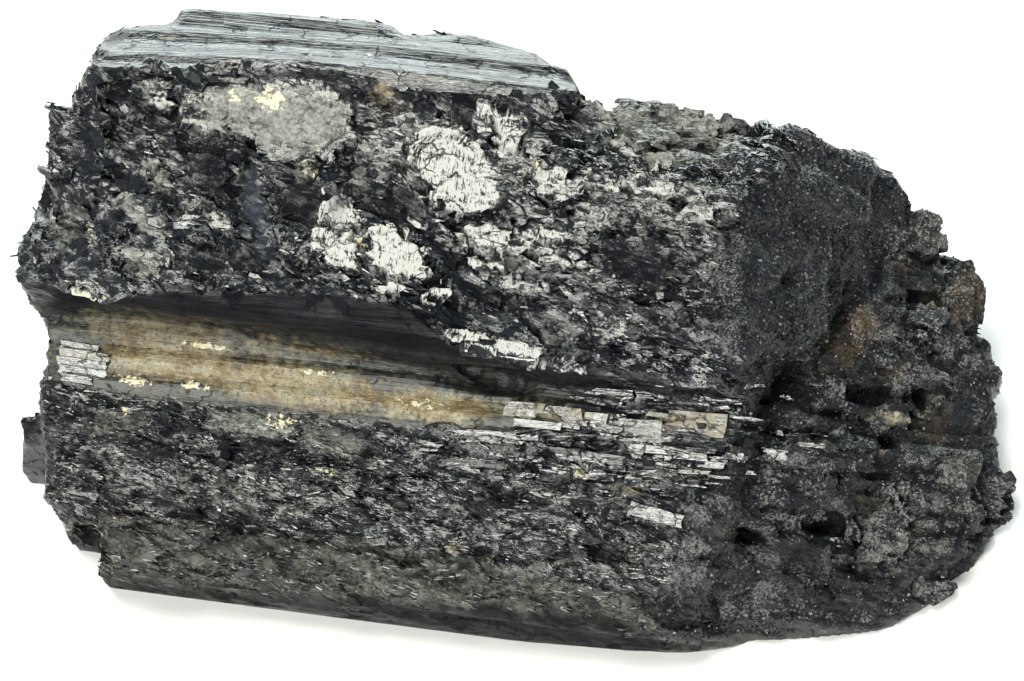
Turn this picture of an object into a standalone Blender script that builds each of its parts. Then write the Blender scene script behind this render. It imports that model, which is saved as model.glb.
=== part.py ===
"""A hand specimen of black tourmaline, built as it grew: long crystals side by side, fused
into one mass, and broken off rough along the front and at both ends.

The frame is in metres, +Z up. X runs along the crystals and -Y is the broken front. The
origin is under the middle of the specimen, on the surface that its flat sole rests on.
"""
import bmesh
import bpy
import numpy as np
from mathutils import Matrix, Vector, kdtree

MM = 0.001
NODE = "tourmaline_crystal"

# ---- driving dimensions, in millimetres ---------------------------------------------------
LENGTH = 111.6           # along the crystals, over both broken ends
DEPTH = 60.6             # front toe to back waist
HEIGHT = 42.2            # sole to the highest arris
FUSE_GRID = 0.6          # grid that grows the crystals into one mass
FINE_GRID = 0.55         # grid that settles the broken relief
TRIANGLES = 9300         # what the finished solid keeps
SUNK = 3.0               # how far the crystals reach below the sole before it is cut flat
SEED = 7

# ---- crystals: the corners of each one (x along, y back, z up) ----------------------------
CRYSTALS = {
    "lower log": [
        (-49.6, -12.8, 19.6), (28.0, -10.5, 19.4), (-51.5, -3.0, 21.4), (28.0, -3.0, 22.0),
        (-49.0, -18.0, 16.2), (26.0, -17.5, 15.0), (-48.2, -22.6, 11.6), (24.0, -24.6, 10.6),
        (-46.2, -19.8, 3.0), (-44.0, -18.5, -SUNK), (24.0, -21.0, -SUNK),
        (-52.0, 20.0, 12.0), (-48.0, 24.0, -SUNK), (36.0, 24.0, 10.0), (36.0, 24.0, -SUNK),
    ],
    "foot crystal": [
        (-42.0, -22.9, -SUNK), (-42.2, -24.4, 0.0), (-42.0, -28.0, 8.0), (-40.6, -22.8, 11.4),
        (-38.5, -14.0, 11.0), (-31.0, -28.7, 8.0), (-21.7, -29.0, 8.2), (-3.0, -28.4, 9.2),
        (28.4, -21.4, -SUNK), (24.8, -26.0, 4.0), (20.6, -28.0, 8.0), (14.0, -28.2, 9.7),
        (18.0, -22.0, 12.8), (24.0, -14.0, -SUNK), (-38.0, -14.0, -SUNK), (4.0, -28.4, 9.5),
        (14.0, -24.6, -SUNK), (22.0, -24.0, -SUNK), (-22.0, -23.2, -SUNK), (28.8, -23.2, 0.0),
    ],
    "upper log": [
        (-52.9, -6.6, 29.0), (-35.3, -7.4, 31.4), (-12.0, -7.2, 31.0), (26.0, -9.4, 26.4),
        (-51.8, -2.6, 20.5), (26.0, -5.0, 18.0),
        (-49.5, 15.0, 38.6), (23.5, 11.0, 36.2), (-49.0, 25.5, 35.6), (28.5, 22.0, 33.6),
        (-54.4, 1.5, 24.5), (-52.4, -3.0, 21.0), (-53.6, 17.0, 26.0), (-52.6, 27.0, 16.0), (-51.0, 27.0, -SUNK),
        (38.8, 24.6, 26.4), (40.6, 21.0, 19.0), (38.5, 12.5, 17.5), (34.0, 5.5, 16.8),
        (29.5, 0.0, 17.5), (27.5, -6.0, 17.0), (41.0, 22.0, 4.0), (10.0, 31.0, 20.0),
        (8.0, 29.5, -SUNK), (-30.0, 31.0, 18.0), (-30.0, 29.5, -SUNK),
    ],
    "top crystal": [
        (-48.0, 15.2, 41.0), (-25.5, 17.4, 42.2), (4.9, 18.4, 40.9), (-48.8, 24.4, 36.0),
        (-45.0, 26.2, 37.4), (-1.0, 27.0, 38.0), (4.6, 22.8, 38.2), (-8.0, 28.2, 38.0),
        (-47.5, 13.0, 36.0), (4.4, 15.8, 36.0), (-47.0, 29.0, 26.0), (4.5, 29.0, 26.0),
    ],
    "back crystal": [
        (-43.5, 21.0, 39.4), (-15.5, 22.5, 39.5), (-40.5, 27.6, 38.4), (-32.0, 29.8, 38.0),
        (-20.0, 29.9, 38.0), (-15.5, 27.6, 37.8), (-42.0, 31.4, 22.0), (-12.0, 31.4, 22.0),
        (-40.0, 31.4, -SUNK), (-12.0, 31.4, -SUNK),
    ],
    "left crystal": [
        (-48.6, 11.0, 36.5), (-52.2, 15.5, 31.0), (-51.2, 18.2, 34.0), (-49.0, 23.0, 36.4),
        (-54.2, 3.0, 22.0), (-53.4, 18.0, 10.0), (-50.0, 8.0, 12.0), (-45.0, 15.0, 30.0),
    ],
    "broken tip": [
        (26.5, -8.0, 17.5), (29.0, -4.0, 17.6), (35.0, 6.0, 17.2), (40.5, 21.0, 19.5),
        (43.0, 23.8, 21.2), (46.4, 23.2, 18.2), (48.8, 20.8, 13.8), (50.2, 14.6, 9.0),
        (52.6, 8.4, 6.8), (54.6, 2.0, 4.6), (55.0, -1.5, 3.0), (53.8, -7.0, 1.6),
        (52.0, -13.2, -SUNK), (54.4, -5.0, -SUNK), (46.6, -18.0, -SUNK),
        (30.0, -17.0, 10.5), (38.0, -14.0, 8.5), (24.0, -14.0, 15.5),
        (40.0, 23.0, 0.0), (49.0, 15.0, 0.0), (36.0, 20.0, -SUNK),
    ],
    "low foot": [
        (25.0, -19.0, 9.4), (27.0, -23.4, 2.4), (42.3, -19.6, 1.5), (30.0, -20.6, -SUNK),
        (42.6, -19.6, -SUNK), (46.8, -17.4, 2.5), (44.0, -12.0, 8.0), (25.0, -14.0, 8.4),
        (51.8, -12.4, 1.6), (25.0, -14.0, -SUNK), (26.0, -22.0, -SUNK), (31.5, -21.2, 2.6),
    ],
    "tip lump, high": [
        (33.3, 26.6, 26.8), (36.2, 25.0, 27.4), (40.4, 26.0, 26.0), (43.2, 24.6, 23.8),
        (42.6, 19.5, 20.0), (36.0, 18.0, 21.0), (36.0, 24.0, 14.0), (43.0, 22.0, 14.0),
    ],
    "tip lump, middle": [
        (42.4, 25.0, 21.6), (45.8, 25.2, 19.6), (47.4, 22.6, 17.6), (45.0, 18.5, 16.0),
        (41.0, 18.0, 14.0), (44.0, 22.0, 8.0),
    ],
    "tip lump, low": [
        (46.4, 24.4, 15.4), (48.8, 24.2, 13.4), (50.8, 22.2, 12.0), (50.8, 18.6, 9.8),
        (48.6, 15.6, 8.6), (45.6, 16.5, 11.0), (45.8, 21.4, 14.0), (46.0, 20.0, 4.0),
        (49.6, 17.0, 4.0),
    ],
    "square stub": [
        (53.4, 0.8, 4.8), (56.0, 0.0, 4.2), (56.2, -3.6, 2.8), (55.6, -4.0, 1.0),
        (53.0, -4.0, 1.0), (53.4, 0.0, 5.4), (52.0, 0.0, 1.2),
    ],
    "left prism": [
        (-53.2, -13.2, 14.6), (-48.0, -13.0, 16.2), (-53.4, -15.6, 12.4), (-48.0, -15.8, 13.6),
        (-53.4, -16.4, 8.0), (-48.0, -16.8, 5.6), (-52.4, -16.4, 5.4), (-52.0, -12.0, 7.0), (-48.0, -10.0, 9.0),
    ],
    "left low prism": [
        (-47.6, -18.2, 5.4), (-42.0, -18.6, 6.0), (-47.0, -20.8, 2.4), (-42.0, -21.6, 2.0),
        (-47.0, -17.0, 1.2), (-42.0, -17.0, 1.0),
    ],
}

# ---- hollows: the corners of each slot, pit and notch that is broken out of the mass ------
HOLLOWS = {
    "lip notch, left": [
        (-60.0, -12.0, 20.2), (-52.2, -6.0, 21.2), (-52.2, -2.4, 26.0), (-60.0, 0.0, 24.0),
        (-60.0, -12.0, 25.4), (-52.8, -8.0, 25.4),
    ],
    "end slope crevice": [
        (40.6, 19.6, 23.0), (42.2, 20.6, 22.0), (38.4, 12.2, 22.0), (40.0, 11.8, 21.0),
        (41.0, 19.0, 15.6), (38.8, 12.4, 14.6),
    ],
    "slot, back": [
        (41.6, 19.2, 18.0), (47.6, 19.0, 15.0), (41.6, 17.0, 17.0), (47.6, 17.2, 14.0),
        (42.4, 18.4, 10.6), (46.6, 18.4, 9.6),
    ],
    "slot, middle": [
        (35.6, 4.8, 18.0), (44.4, 4.4, 16.0), (35.6, 2.4, 17.0), (44.4, 2.6, 15.0),
        (36.4, 3.6, 11.0), (43.6, 3.6, 9.6),
    ],
    "pit": [
        (38.6, 0.6, 16.0), (41.4, 0.4, 15.0), (38.8, -1.8, 15.0), (41.2, -1.8, 14.0),
        (40.0, -0.4, 8.4),
    ],
    "foot notch": [
        (35.0, -12.0, 12.0), (39.0, -11.4, 12.0), (35.0, -14.6, 11.0), (39.0, -14.0, 10.0),
        (36.0, -12.4, 4.6), (38.4, -13.2, 4.4),
    ],
    "lath hollow": [
        (-6.8, -3.8, 26.0), (4.6, -6.4, 25.0), (-5.8, -6.4, 24.0), (4.0, -8.8, 23.0),
        (-5.0, -5.0, 19.4), (3.4, -7.4, 18.4),
    ],
    "upper pit": [
        (15.6, 8.0, 38.0), (18.8, 7.6, 38.0), (16.0, 5.2, 38.0), (18.6, 5.0, 38.0),
        (17.2, 6.6, 29.0),
    ],
}

# ---- laths: split slivers stepping down the lower log (start, end, front y, top z, width) --
LATHS = [
    (-8.0, 10.0, -12.6, 20.2, 2.6), (-2.0, 21.0, -14.6, 18.9, 2.2), (2.0, 14.0, -11.2, 21.2, 2.0),
    (8.0, 25.0, -16.6, 17.6, 2.4), (12.0, 26.0, -12.0, 20.6, 2.4), (16.0, 29.0, -9.4, 21.4, 2.2),
    (13.0, 24.0, -19.4, 15.6, 2.4), (28.0, 39.0, -5.0, 17.2, 1.8), (29.0, 40.0, -7.6, 15.4, 1.8),
    (27.0, 36.0, -10.2, 15.4, 2.0), (-12.0, 4.0, -15.8, 18.2, 2.2), (34.0, 46.0, 1.2, 14.2, 2.6),
    (38.0, 49.0, 5.6, 14.0, 2.4), (41.0, 50.0, 9.0, 13.4, 2.8), (40.0, 52.0, -3.6, 10.4, 2.4),
    (42.0, 53.0, -8.0, 7.6, 2.6), (39.0, 51.0, -12.4, 6.0, 2.8), (43.0, 50.0, 13.6, 13.8, 2.6),
]
LATH_DROP = 4.0          # how deep a lath's root reaches into the mass

# ---- relief of the broken faces -----------------------------------------------------------
CHIPS = (                # cell size, stretch along x, relief, tilt
    (9.0, 1.4, 0.9, 0.16),
    (4.2, 1.7, 0.55, 0.22),
)
BULGES = [               # x, y, length, width, height: the large scars and swellings
    (-6.0, 7.0, 6.0, 5.5, 1.3), (-17.0, 0.5, 7.5, 4.0, 0.9), (2.0, 10.5, 4.0, 3.0, 0.8),
    (-29.0, 6.0, 1.8, 6.5, -1.1), (-41.0, 7.0, 4.5, 6.0, -1.0), (-24.0, 12.0, 6.0, 3.0, 0.6),
    (10.0, 2.0, 7.0, 6.0, 0.9), (-34.0, -1.0, 5.0, 3.0, 0.7), (17.0, 14.0, 6.0, 4.0, -0.7),
]
RIDGE_PITCH = 2.6        # striations: the wavelength round the crystals
RIDGE_HEIGHT = 0.28


def convex(name, corners):
    """A closed solid with flat faces over corners given in millimetres."""
    mesh = bmesh.new()
    for corner in corners:
        mesh.verts.new(Vector(corner) * MM)
    made = bmesh.ops.convex_hull(mesh, input=mesh.verts)
    loose = [item for item in made["geom_interior"] if isinstance(item, bmesh.types.BMVert)]
    bmesh.ops.delete(mesh, geom=loose, context="VERTS")
    bmesh.ops.recalc_face_normals(mesh, faces=mesh.faces)
    data = bpy.data.meshes.new(name)
    mesh.to_mesh(data)
    mesh.free()
    return data


def lath(index, start, end, front, top, width):
    """A four-sided sliver along x, its ends broken at an angle."""
    slant = 0.8 if index % 2 else -0.6
    corners = [
        (start, front, top), (end, front + slant, top - 0.4),
        (start + slant, front + width, top + 0.5), (end - slant, front + width, top + 0.2),
        (start + 1.5, front + 0.8, top - LATH_DROP), (end - 1.0, front + 1.2, top - LATH_DROP),
        (start + 1.5, front + width + 0.8, top - LATH_DROP),
        (end - 1.0, front + width + 0.8, top - LATH_DROP),
    ]
    return convex(f"lath {index}", corners)


def joined(name, meshes):
    """One object over several meshes, which may overlap."""
    whole = bmesh.new()
    for data in meshes:
        whole.from_mesh(data)
    data = bpy.data.meshes.new(name)
    whole.to_mesh(data)
    whole.free()
    made = bpy.data.objects.new(name, data)
    bpy.context.scene.collection.objects.link(made)
    return made


def settle(body):
    """Replaces the object's mesh with what its modifiers make of it."""
    graph = bpy.context.evaluated_depsgraph_get()
    body.data = bpy.data.meshes.new_from_object(body.evaluated_get(graph))
    body.modifiers.clear()


def grow_together(body, grid):
    """Fuses everything that overlaps into one skin, on a grid of this size."""
    fused = body.modifiers.new("fuse", "REMESH")
    fused.mode = "VOXEL"
    fused.voxel_size = grid * MM
    settle(body)


def break_out(body, hollows):
    """Cuts the hollows out of the mass."""
    hollows.display_type = "WIRE"
    hollows.hide_render = True
    cut = body.modifiers.new("hollows", "BOOLEAN")
    cut.operation = "DIFFERENCE"
    cut.object = hollows
    cut.use_self = True
    settle(body)
    bpy.data.objects.remove(hollows)


def ramp(value, low, high):
    """0 below low, 1 above high, smooth between."""
    t = np.clip((value - low) / (high - low), 0.0, 1.0)
    return t * t * (3.0 - 2.0 * t)


def broken_share(p):
    """How rough each point's surface is: 1 on a broken face, near 0 on a grown one."""
    x, y, z = p.T
    lip_to_arris = ramp(z, 30.0, 32.0) * (1.0 - ramp(y, 13.5, 15.5))
    over_right = ramp(x, 6.0, 9.0) * ramp(z, 25.0, 28.0)
    log_front = (1.0 - ramp(y, -15.5, -13.0)) * ramp(z, 8.0, 10.5) * 0.7
    right_end = ramp(x, 27.0, 31.0)
    left_end = ramp(-x, 47.5, 49.5) * (1.0 - ramp(y, 4.0, 10.0)) * 0.6
    share = np.max([lip_to_arris, over_right, log_front, right_end, left_end], axis=0)
    behind = ramp(y, 25.0, 28.0) * (1.0 - ramp(x, 30.0, 36.0))
    low_front = (1.0 - ramp(z, 2.0, 7.0)) * 0.7
    return share * (1.0 - behind) * (1.0 - low_front)


def chips(p, size, stretch, relief, tilt, seed):
    """Height of a surface broken into flat-faced chips of about this size."""
    chance = np.random.default_rng(seed)
    scale = np.array([1.0 / stretch, 1.0, 1.0])
    low = p.min(axis=0) * scale
    span = p.max(axis=0) * scale - low
    count = int(np.prod(span) / size**3) + 1
    seeds = low + chance.random((count, 3)) * span
    lift = chance.uniform(-relief, relief, count)
    slope = chance.uniform(-tilt, tilt, (count, 3))
    tree = kdtree.KDTree(count)
    for index, seed_point in enumerate(seeds):
        tree.insert(seed_point, index)
    tree.balance()
    near = np.array([tree.find(point)[1] for point in p * scale])
    return lift[near] + ((p * scale - seeds[near]) * slope[near]).sum(axis=1)


def wander(p):
    """A slow, smooth offset that bends straight chip edges and ridges."""
    x, y, z = p.T
    return np.stack([
        0.9 * np.sin(0.31 * y + 0.23 * z + 1.0), 0.8 * np.sin(0.27 * x + 2.0),
        0.7 * np.sin(0.21 * x + 0.4 * y),
    ], axis=1)


def striations(p):
    """Ridges that run along x, numbered by the way round the crystals."""
    x, y, z = p.T
    around = (0.8 * y + 0.6 * z) / RIDGE_PITCH + 0.15 * np.sin(0.09 * x)
    wave = np.sin(2.0 * np.pi * around) + 0.6 * np.sin(2.0 * np.pi * 1.73 * around + 1.3)
    return RIDGE_HEIGHT * wave


def bulges(p):
    """The large scars and swellings of the upper broken face."""
    height = np.zeros(len(p))
    for x, y, length, width, rise in BULGES:
        far = ((p[:, 0] - x) / length) ** 2 + ((p[:, 1] - y) / width) ** 2
        height += rise * np.exp(-(far**2))
    return height * ramp(p[:, 2], 28.0, 31.0)


def roughen(body):
    """Moves each point of the skin out or in by the relief of its face."""
    mesh = body.data
    flat = np.empty(len(mesh.vertices) * 3)
    mesh.vertices.foreach_get("co", flat)
    points = flat.reshape(-1, 3) / MM
    mesh.vertices.foreach_get("normal", flat)
    normals = flat.reshape(-1, 3).copy()
    share = broken_share(points)
    bent = points + wander(points)
    rough = bulges(points)
    for index, (size, stretch, relief, tilt) in enumerate(CHIPS):
        rough += chips(bent, size, stretch, relief, tilt, SEED + index)
    height = share * rough + (1.0 - share) * striations(points)
    height *= ramp(points[:, 2], 0.5, 2.5)
    moved = (points + normals * height[:, None]) * MM
    mesh.vertices.foreach_set("co", moved.ravel())
    mesh.update()


def keep_largest(body):
    """Drops every loose grain and sealed bubble but the one outer skin."""
    mesh = bmesh.new()
    mesh.from_mesh(body.data)
    left = set(mesh.verts)
    islands = []
    while left:
        island = {left.pop()}
        front = list(island)
        while front:
            vertex = front.pop()
            for edge in vertex.link_edges:
                other = edge.other_vert(vertex)
                if other in left:
                    left.remove(other)
                    island.add(other)
                    front.append(other)
        islands.append(island)
    islands.sort(key=len)
    for island in islands[:-1]:
        bmesh.ops.delete(mesh, geom=list(island), context="VERTS")
    mesh.to_mesh(body.data)
    mesh.free()


def thin_out(body, triangles):
    """Collapses the skin's edges down to this many triangles."""
    body.data.calc_loop_triangles()
    thinned = body.modifiers.new("thin out", "DECIMATE")
    thinned.ratio = triangles / len(body.data.loop_triangles)
    settle(body)


def cut_sole(body):
    """Slices the specimen off flat at z = 0 and closes the cut."""
    mesh = bmesh.new()
    mesh.from_mesh(body.data)
    everything = mesh.verts[:] + mesh.edges[:] + mesh.faces[:]
    cut = bmesh.ops.bisect_plane(
        mesh, geom=everything, dist=1e-7, plane_co=(0, 0, 0), plane_no=(0, 0, 1),
        clear_inner=True,
    )
    rim = [item for item in cut["geom_cut"] if isinstance(item, bmesh.types.BMEdge)]
    bmesh.ops.edgeloop_fill(mesh, edges=rim)
    bmesh.ops.triangulate(mesh, faces=mesh.faces)
    bmesh.ops.recalc_face_normals(mesh, faces=mesh.faces)
    mesh.to_mesh(body.data)
    mesh.free()


def to_size(body):
    """Brings the finished box to its driving dimensions, centred over the origin."""
    points = np.array([vertex.co for vertex in body.data.vertices]) / MM
    low, high = points.min(axis=0), points.max(axis=0)
    wanted = np.array([LENGTH, DEPTH, HEIGHT])
    scale = wanted / (high - low)
    middle = (low + high) / 2.0
    middle[2] = low[2]
    body.data.transform(Matrix.Diagonal((*scale, 1.0)) @ Matrix.Translation(-Vector(middle) * MM))
    return scale, middle


def schorl():
    """Black tourmaline: glossy, iron-black, not metallic."""
    made = bpy.data.materials.new("schorl")
    made.use_nodes = True
    shader = made.node_tree.nodes["Principled BSDF"]
    shader.inputs["Base Color"].default_value = (0.016, 0.016, 0.018, 1.0)
    shader.inputs["Roughness"].default_value = 0.28
    shader.inputs["Metallic"].default_value = 0.0
    made.diffuse_color = (0.05, 0.05, 0.055, 1.0)
    return made


def build():
    for leftover in list(bpy.data.objects):
        bpy.data.objects.remove(leftover)
    crystals = [convex(name, corners) for name, corners in CRYSTALS.items()]
    laths = [lath(index, *values) for index, values in enumerate(LATHS)]
    body = joined(NODE, crystals + laths)
    grow_together(body, FUSE_GRID)
    roughen(body)
    hollows = joined("hollows", [convex(name, corners) for name, corners in HOLLOWS.items()])
    break_out(body, hollows)
    grow_together(body, FINE_GRID)
    keep_largest(body)
    thin_out(body, TRIANGLES)
    cut_sole(body)
    to_size(body)
    body.data.materials.clear()
    body.data.materials.append(schorl())
    body.data.shade_flat()


build()
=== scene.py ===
"""The finish of a hand specimen of black tourmaline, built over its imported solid."""
import itertools
import math
from types import SimpleNamespace

import bmesh
import bpy
import numpy as np
from mathutils import Matrix, Vector


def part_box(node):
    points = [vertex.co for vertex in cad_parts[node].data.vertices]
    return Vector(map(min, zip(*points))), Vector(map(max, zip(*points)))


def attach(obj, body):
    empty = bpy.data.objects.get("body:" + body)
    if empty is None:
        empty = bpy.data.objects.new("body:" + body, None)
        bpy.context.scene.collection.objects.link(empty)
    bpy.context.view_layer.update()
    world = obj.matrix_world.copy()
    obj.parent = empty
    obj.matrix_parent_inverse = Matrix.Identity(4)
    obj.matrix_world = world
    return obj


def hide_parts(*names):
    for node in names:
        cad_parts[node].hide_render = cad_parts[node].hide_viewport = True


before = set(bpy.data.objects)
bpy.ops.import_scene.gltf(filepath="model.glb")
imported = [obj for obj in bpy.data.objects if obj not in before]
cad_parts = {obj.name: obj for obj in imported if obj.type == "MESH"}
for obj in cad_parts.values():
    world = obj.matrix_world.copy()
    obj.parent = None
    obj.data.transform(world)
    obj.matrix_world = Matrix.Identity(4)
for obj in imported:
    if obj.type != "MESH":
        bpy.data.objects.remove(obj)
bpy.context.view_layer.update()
MM = 0.001


# ---- the eye ------------------------------------------------------------------------------
# The specimen is looked down on from the front through a long lens. The same eye lays the
# showy side out on a flat map, on which every scar, stain and crack below has its place.
EYE_HEIGHT = math.radians(50.0)
EYE_TURN = math.radians(7.5)
EYE_DISTANCE = 520.0
LOOKED_AT = np.array([-0.9, -0.45, 19.0])
MAP_WIDTH = 112.64

BACK = np.array([
    math.sin(EYE_TURN) * math.cos(EYE_HEIGHT), -math.cos(EYE_TURN) * math.cos(EYE_HEIGHT),
    math.sin(EYE_HEIGHT),
])
RIGHT = np.array([math.cos(EYE_TURN), math.sin(EYE_TURN), 0.0])
UP = np.cross(BACK, RIGHT)
EYE = LOOKED_AT + EYE_DISTANCE * BACK


def set_up(name, data):
    """A new object of this data, put in the scene."""
    thing = bpy.data.objects.new(name, data)
    bpy.context.scene.collection.objects.link(thing)
    return thing


lens = bpy.data.cameras.new("eye")
lens.sensor_width = 36.0
lens.lens = lens.sensor_width * EYE_DISTANCE / MAP_WIDTH
lens.clip_start = 0.01
eye = set_up("eye", lens)
turned = Matrix(np.stack([RIGHT, UP, BACK], axis=1)).to_4x4()
eye.matrix_world = Matrix.Translation(Vector(EYE) * MM) @ turned
bpy.context.scene.camera = eye


def on_map(points):
    """Each point's place on the map, in millimetres: s to the right and t up."""
    away = points - EYE
    depth = -(away @ BACK)
    return EYE_DISTANCE * (away @ RIGHT) / depth, EYE_DISTANCE * (away @ UP) / depth


# ---- the specimen: its form -----------------------------------------------------------------
# Several schorl crystals grown into one mass, lying on its broad side. Grown faces are striated
# lengthwise. Broken faces are carved here, chip by chip, into a fine copy of the solid's skin.
SKIN_GRID = 0.28
SKIN_TRIANGLES = 196000
SOFTENING = 3
BROAD_SOFTENING = 30
GRAIN_FALL = 0.096
MOST_RAISED = 0.95
MOST_SUNK = 2.2

LAMP_WAY = np.array([-0.20, -0.14, 0.97])
FRONT_PANEL_WAY = np.array([-0.25, -0.80, 0.60])


def between(first, second):
    """The way halfway between two ways: a facet that faces it mirrors one into the other."""
    middle = first / np.linalg.norm(first) + second / np.linalg.norm(second)
    return middle / np.linalg.norm(middle)


MIRROR = between(LAMP_WAY, BACK)
FRONT_MIRROR = between(FRONT_PANEL_WAY, BACK)


def carving_block(solid, softening):
    """A closed, fine-meshed copy of the solid, its facets softened, in metres."""
    mesh = bmesh.new()
    mesh.from_mesh(solid.data)
    bmesh.ops.remove_doubles(mesh, verts=mesh.verts, dist=1e-6)
    data = bpy.data.meshes.new("tourmaline_skin")
    mesh.to_mesh(data)
    mesh.free()
    block = set_up("tourmaline_skin", data)
    grid = block.modifiers.new("grid", "REMESH")
    grid.mode = "VOXEL"
    grid.voxel_size = 1.0 * SKIN_GRID * MM
    soft = block.modifiers.new("soften", "SMOOTH")
    soft.factor = 0.5
    soft.iterations = softening
    return settled(block)


def settled(piece):
    """The piece with its modifiers turned into plain mesh."""
    graph = bpy.context.evaluated_depsgraph_get()
    piece.data = bpy.data.meshes.new_from_object(piece.evaluated_get(graph))
    piece.modifiers.clear()
    return piece


def read(mesh, name):
    """The mesh's points or normals as rows of three."""
    flat = np.empty(len(mesh.vertices) * 3)
    mesh.vertices.foreach_get(name, flat)
    return flat.reshape(-1, 3)


def ramp(value, low, high):
    """0 below low, 1 above high, smooth between. It falls where high is below low."""
    t = np.clip((value - low) / (high - low), 0.0, 1.0)
    return t * t * (3.0 - 2.0 * t)


def chance(cells, seed):
    """A repeatable random value from -1 to 1 for each whole-numbered cell."""
    mixed = cells.astype(np.int64) @ np.array([73856093, 19349663, 83492791]) + seed * 374761393
    mixed = (mixed ^ (mixed >> 13)) * 1274126177
    return ((mixed ^ (mixed >> 16)) & 0xFFFFFF) / 0x7FFFFF - 1.0


def drift(p, seed):
    """Smooth noise from -1 to 1, with features one unit apart."""
    home = np.floor(p)
    part = p - home
    part = part * part * (3.0 - 2.0 * part)
    total = np.zeros(len(p))
    for corner in itertools.product((0, 1), repeat=3):
        share = np.prod(np.where(corner, part, 1.0 - part), axis=1)
        total += share * chance(home + corner, seed)
    return total


def bent(p, size, reach, seed):
    """The points moved about smoothly, so that what is laid on them gets curved edges."""
    return p + reach * np.stack([drift(p / size, seed + k) for k in range(3)], axis=1)


def fibres(p, fine, long, seed):
    """Noise drawn out along the crystals: fine across, long lengthwise."""
    return drift(p / np.array([long, fine, fine]), seed)


# The chips, scales and flakes that break the faces, coarse ones first: size across and relief in
# millimetres, stretch along the crystals, tilt, scoop, and the size and reach of their edges' bends.
CHIPS = {
    "big": dict(size=6.0, stretch=1.8, relief=0.7, tilt=0.26, scoop=0.16, bend=(3.4, 0.9, 21), seed=100),
    "middling": dict(size=2.5, stretch=2.3, relief=0.4, tilt=0.42, scoop=0.16, bend=(2.6, 0.6, 24), seed=110),
    "small": dict(size=1.0, stretch=1.7, relief=0.08, tilt=0.3, scoop=0.2, bend=(1.2, 0.25, 27), seed=120),
    "scales": dict(size=2.6, stretch=3.2, relief=0.58, tilt=0.38, scoop=0.3, bend=(5.0, 1.3, 30), seed=130),
    "flakes": dict(size=0.95, stretch=3.2, relief=0.16, tilt=0.42, scoop=0.32, bend=(2.0, 0.5, 33), seed=140),
    "fine": dict(size=1.25, stretch=1.9, relief=0.16, tilt=0.36, scoop=0.22, bend=(1.6, 0.4, 36), seed=150),
}


def chips(p, size, stretch, relief, tilt, scoop, bend, seed, pull=0.0, wanted=0.0):
    """A face broken into chips, each tilted and scooped: height, slope, edge and way from its middle.

    Where pull is near 1, the chips tilt with the wanted slope and not each its own way.
    """
    scale = size * np.array([stretch, 1.0, 1.0])
    q = bent(p, *bend) / scale
    home = np.floor(q)
    best = np.full(len(q), 9.0)
    second = np.full(len(q), 9.0)
    way = np.zeros_like(q)
    own = np.zeros_like(q)
    for step in itertools.product((-1, 0, 1), repeat=3):
        cell = home + step
        jitter = np.stack([chance(cell, seed + k) for k in (1, 2, 3)], axis=1)
        to = q - cell - 0.5 - 0.45 * jitter
        far = (to**2).sum(axis=1)
        closer = far < best
        second = np.where(closer, best, np.minimum(second, far))
        best = np.where(closer, far, best)
        way[closer] = to[closer]
        own[closer] = cell[closer]
    slope = tilt * np.stack([chance(own, seed + k) for k in (4, 5, 6)], axis=1) * size / scale
    slope = slope * (1.0 - pull) + wanted * pull
    off = way * scale
    height = relief * chance(own, seed + 7) + (off * slope).sum(axis=1) + scoop * size * (way**2).sum(axis=1)
    slope = slope + 2.0 * scoop * size * way / scale
    edge = ramp(np.sqrt(second) - np.sqrt(best), 0.16, 0.0)
    return SimpleNamespace(height=height, slope=slope, edge=edge, off=off)


def splints(s, t, width, length, seed):
    """Height from 0 to 1 of laths split along the grain, each broken off at its own length."""
    row = np.floor(t / width)
    none = np.zeros_like(row)
    start = length * chance(np.stack([row, none, none], axis=1), seed)
    brick = np.floor((s + start) / length)
    return 0.5 + 0.5 * chance(np.stack([row, brick, none], axis=1), seed + 1)


# The faces lie one below another on the map. Each line gives the lower edge of one of them,
# from left to right.
TOP_EDGE = [
    (-45.3, 30), (-39, 30), (-30, 30.5), (-23.3, 30.3), (-9, 27), (-1.6, 26.6), (7.3, 27.3),
]
LIP = [
    (-53.6, 6.7), (-44.4, 4.5), (-36.9, 5.6), (-17.5, 4.9), (-11.1, 3.4), (-6.8, -0.5), (0.9, -2.4),
    (9.7, -3.5), (20.7, -4.9), (25.6, -6),
]
GROOVE = [
    (-52.3, 3.8), (-45, 4), (-35.9, 2.7), (-25.5, 1.5), (-16.1, -0.2), (-6.9, -1.8), (9.7, -4.4),
    (20.7, -6.5), (26, -7.2),
]
STAIN_EDGE = [
    (-49.9, -4.9), (-40.5, -6.6), (-27.7, -7.9), (-19.7, -9.1), (-12.8, -9.8), (-3.5, -9.3), (4.2, -9.9),
    (11.9, -9.9), (20.7, -10.9), (26, -9),
]
LATH_EDGE = [
    (-14, -10), (-9, -13.4), (0, -15.4), (10, -16.8), (20, -17.6), (27, -15),
]
CREVICE = [
    (-46.4, -19.3), (-35.4, -20), (-30.7, -21.4), (-21.1, -21.6), (-12.3, -22.7), (-6.5, -24.3), (5.3, -26),
    (15.2, -28.6), (24, -33),
]
TOE = [
    (-44.8, -25.3), (-35.4, -26.7), (-25.9, -27.9), (-14.5, -28.3), (-6.7, -28.7), (0.9, -28.9),
    (10.8, -30.4), (17.1, -32), (21.2, -33.5), (30, -32),
]
END_TOP = [
    (-12, 25.6), (-6, 25.6), (-3.2, 24.5), (4.5, 20.7), (12.2, 22.9), (16, 25.6), (19.3, 30.6),
]
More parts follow.
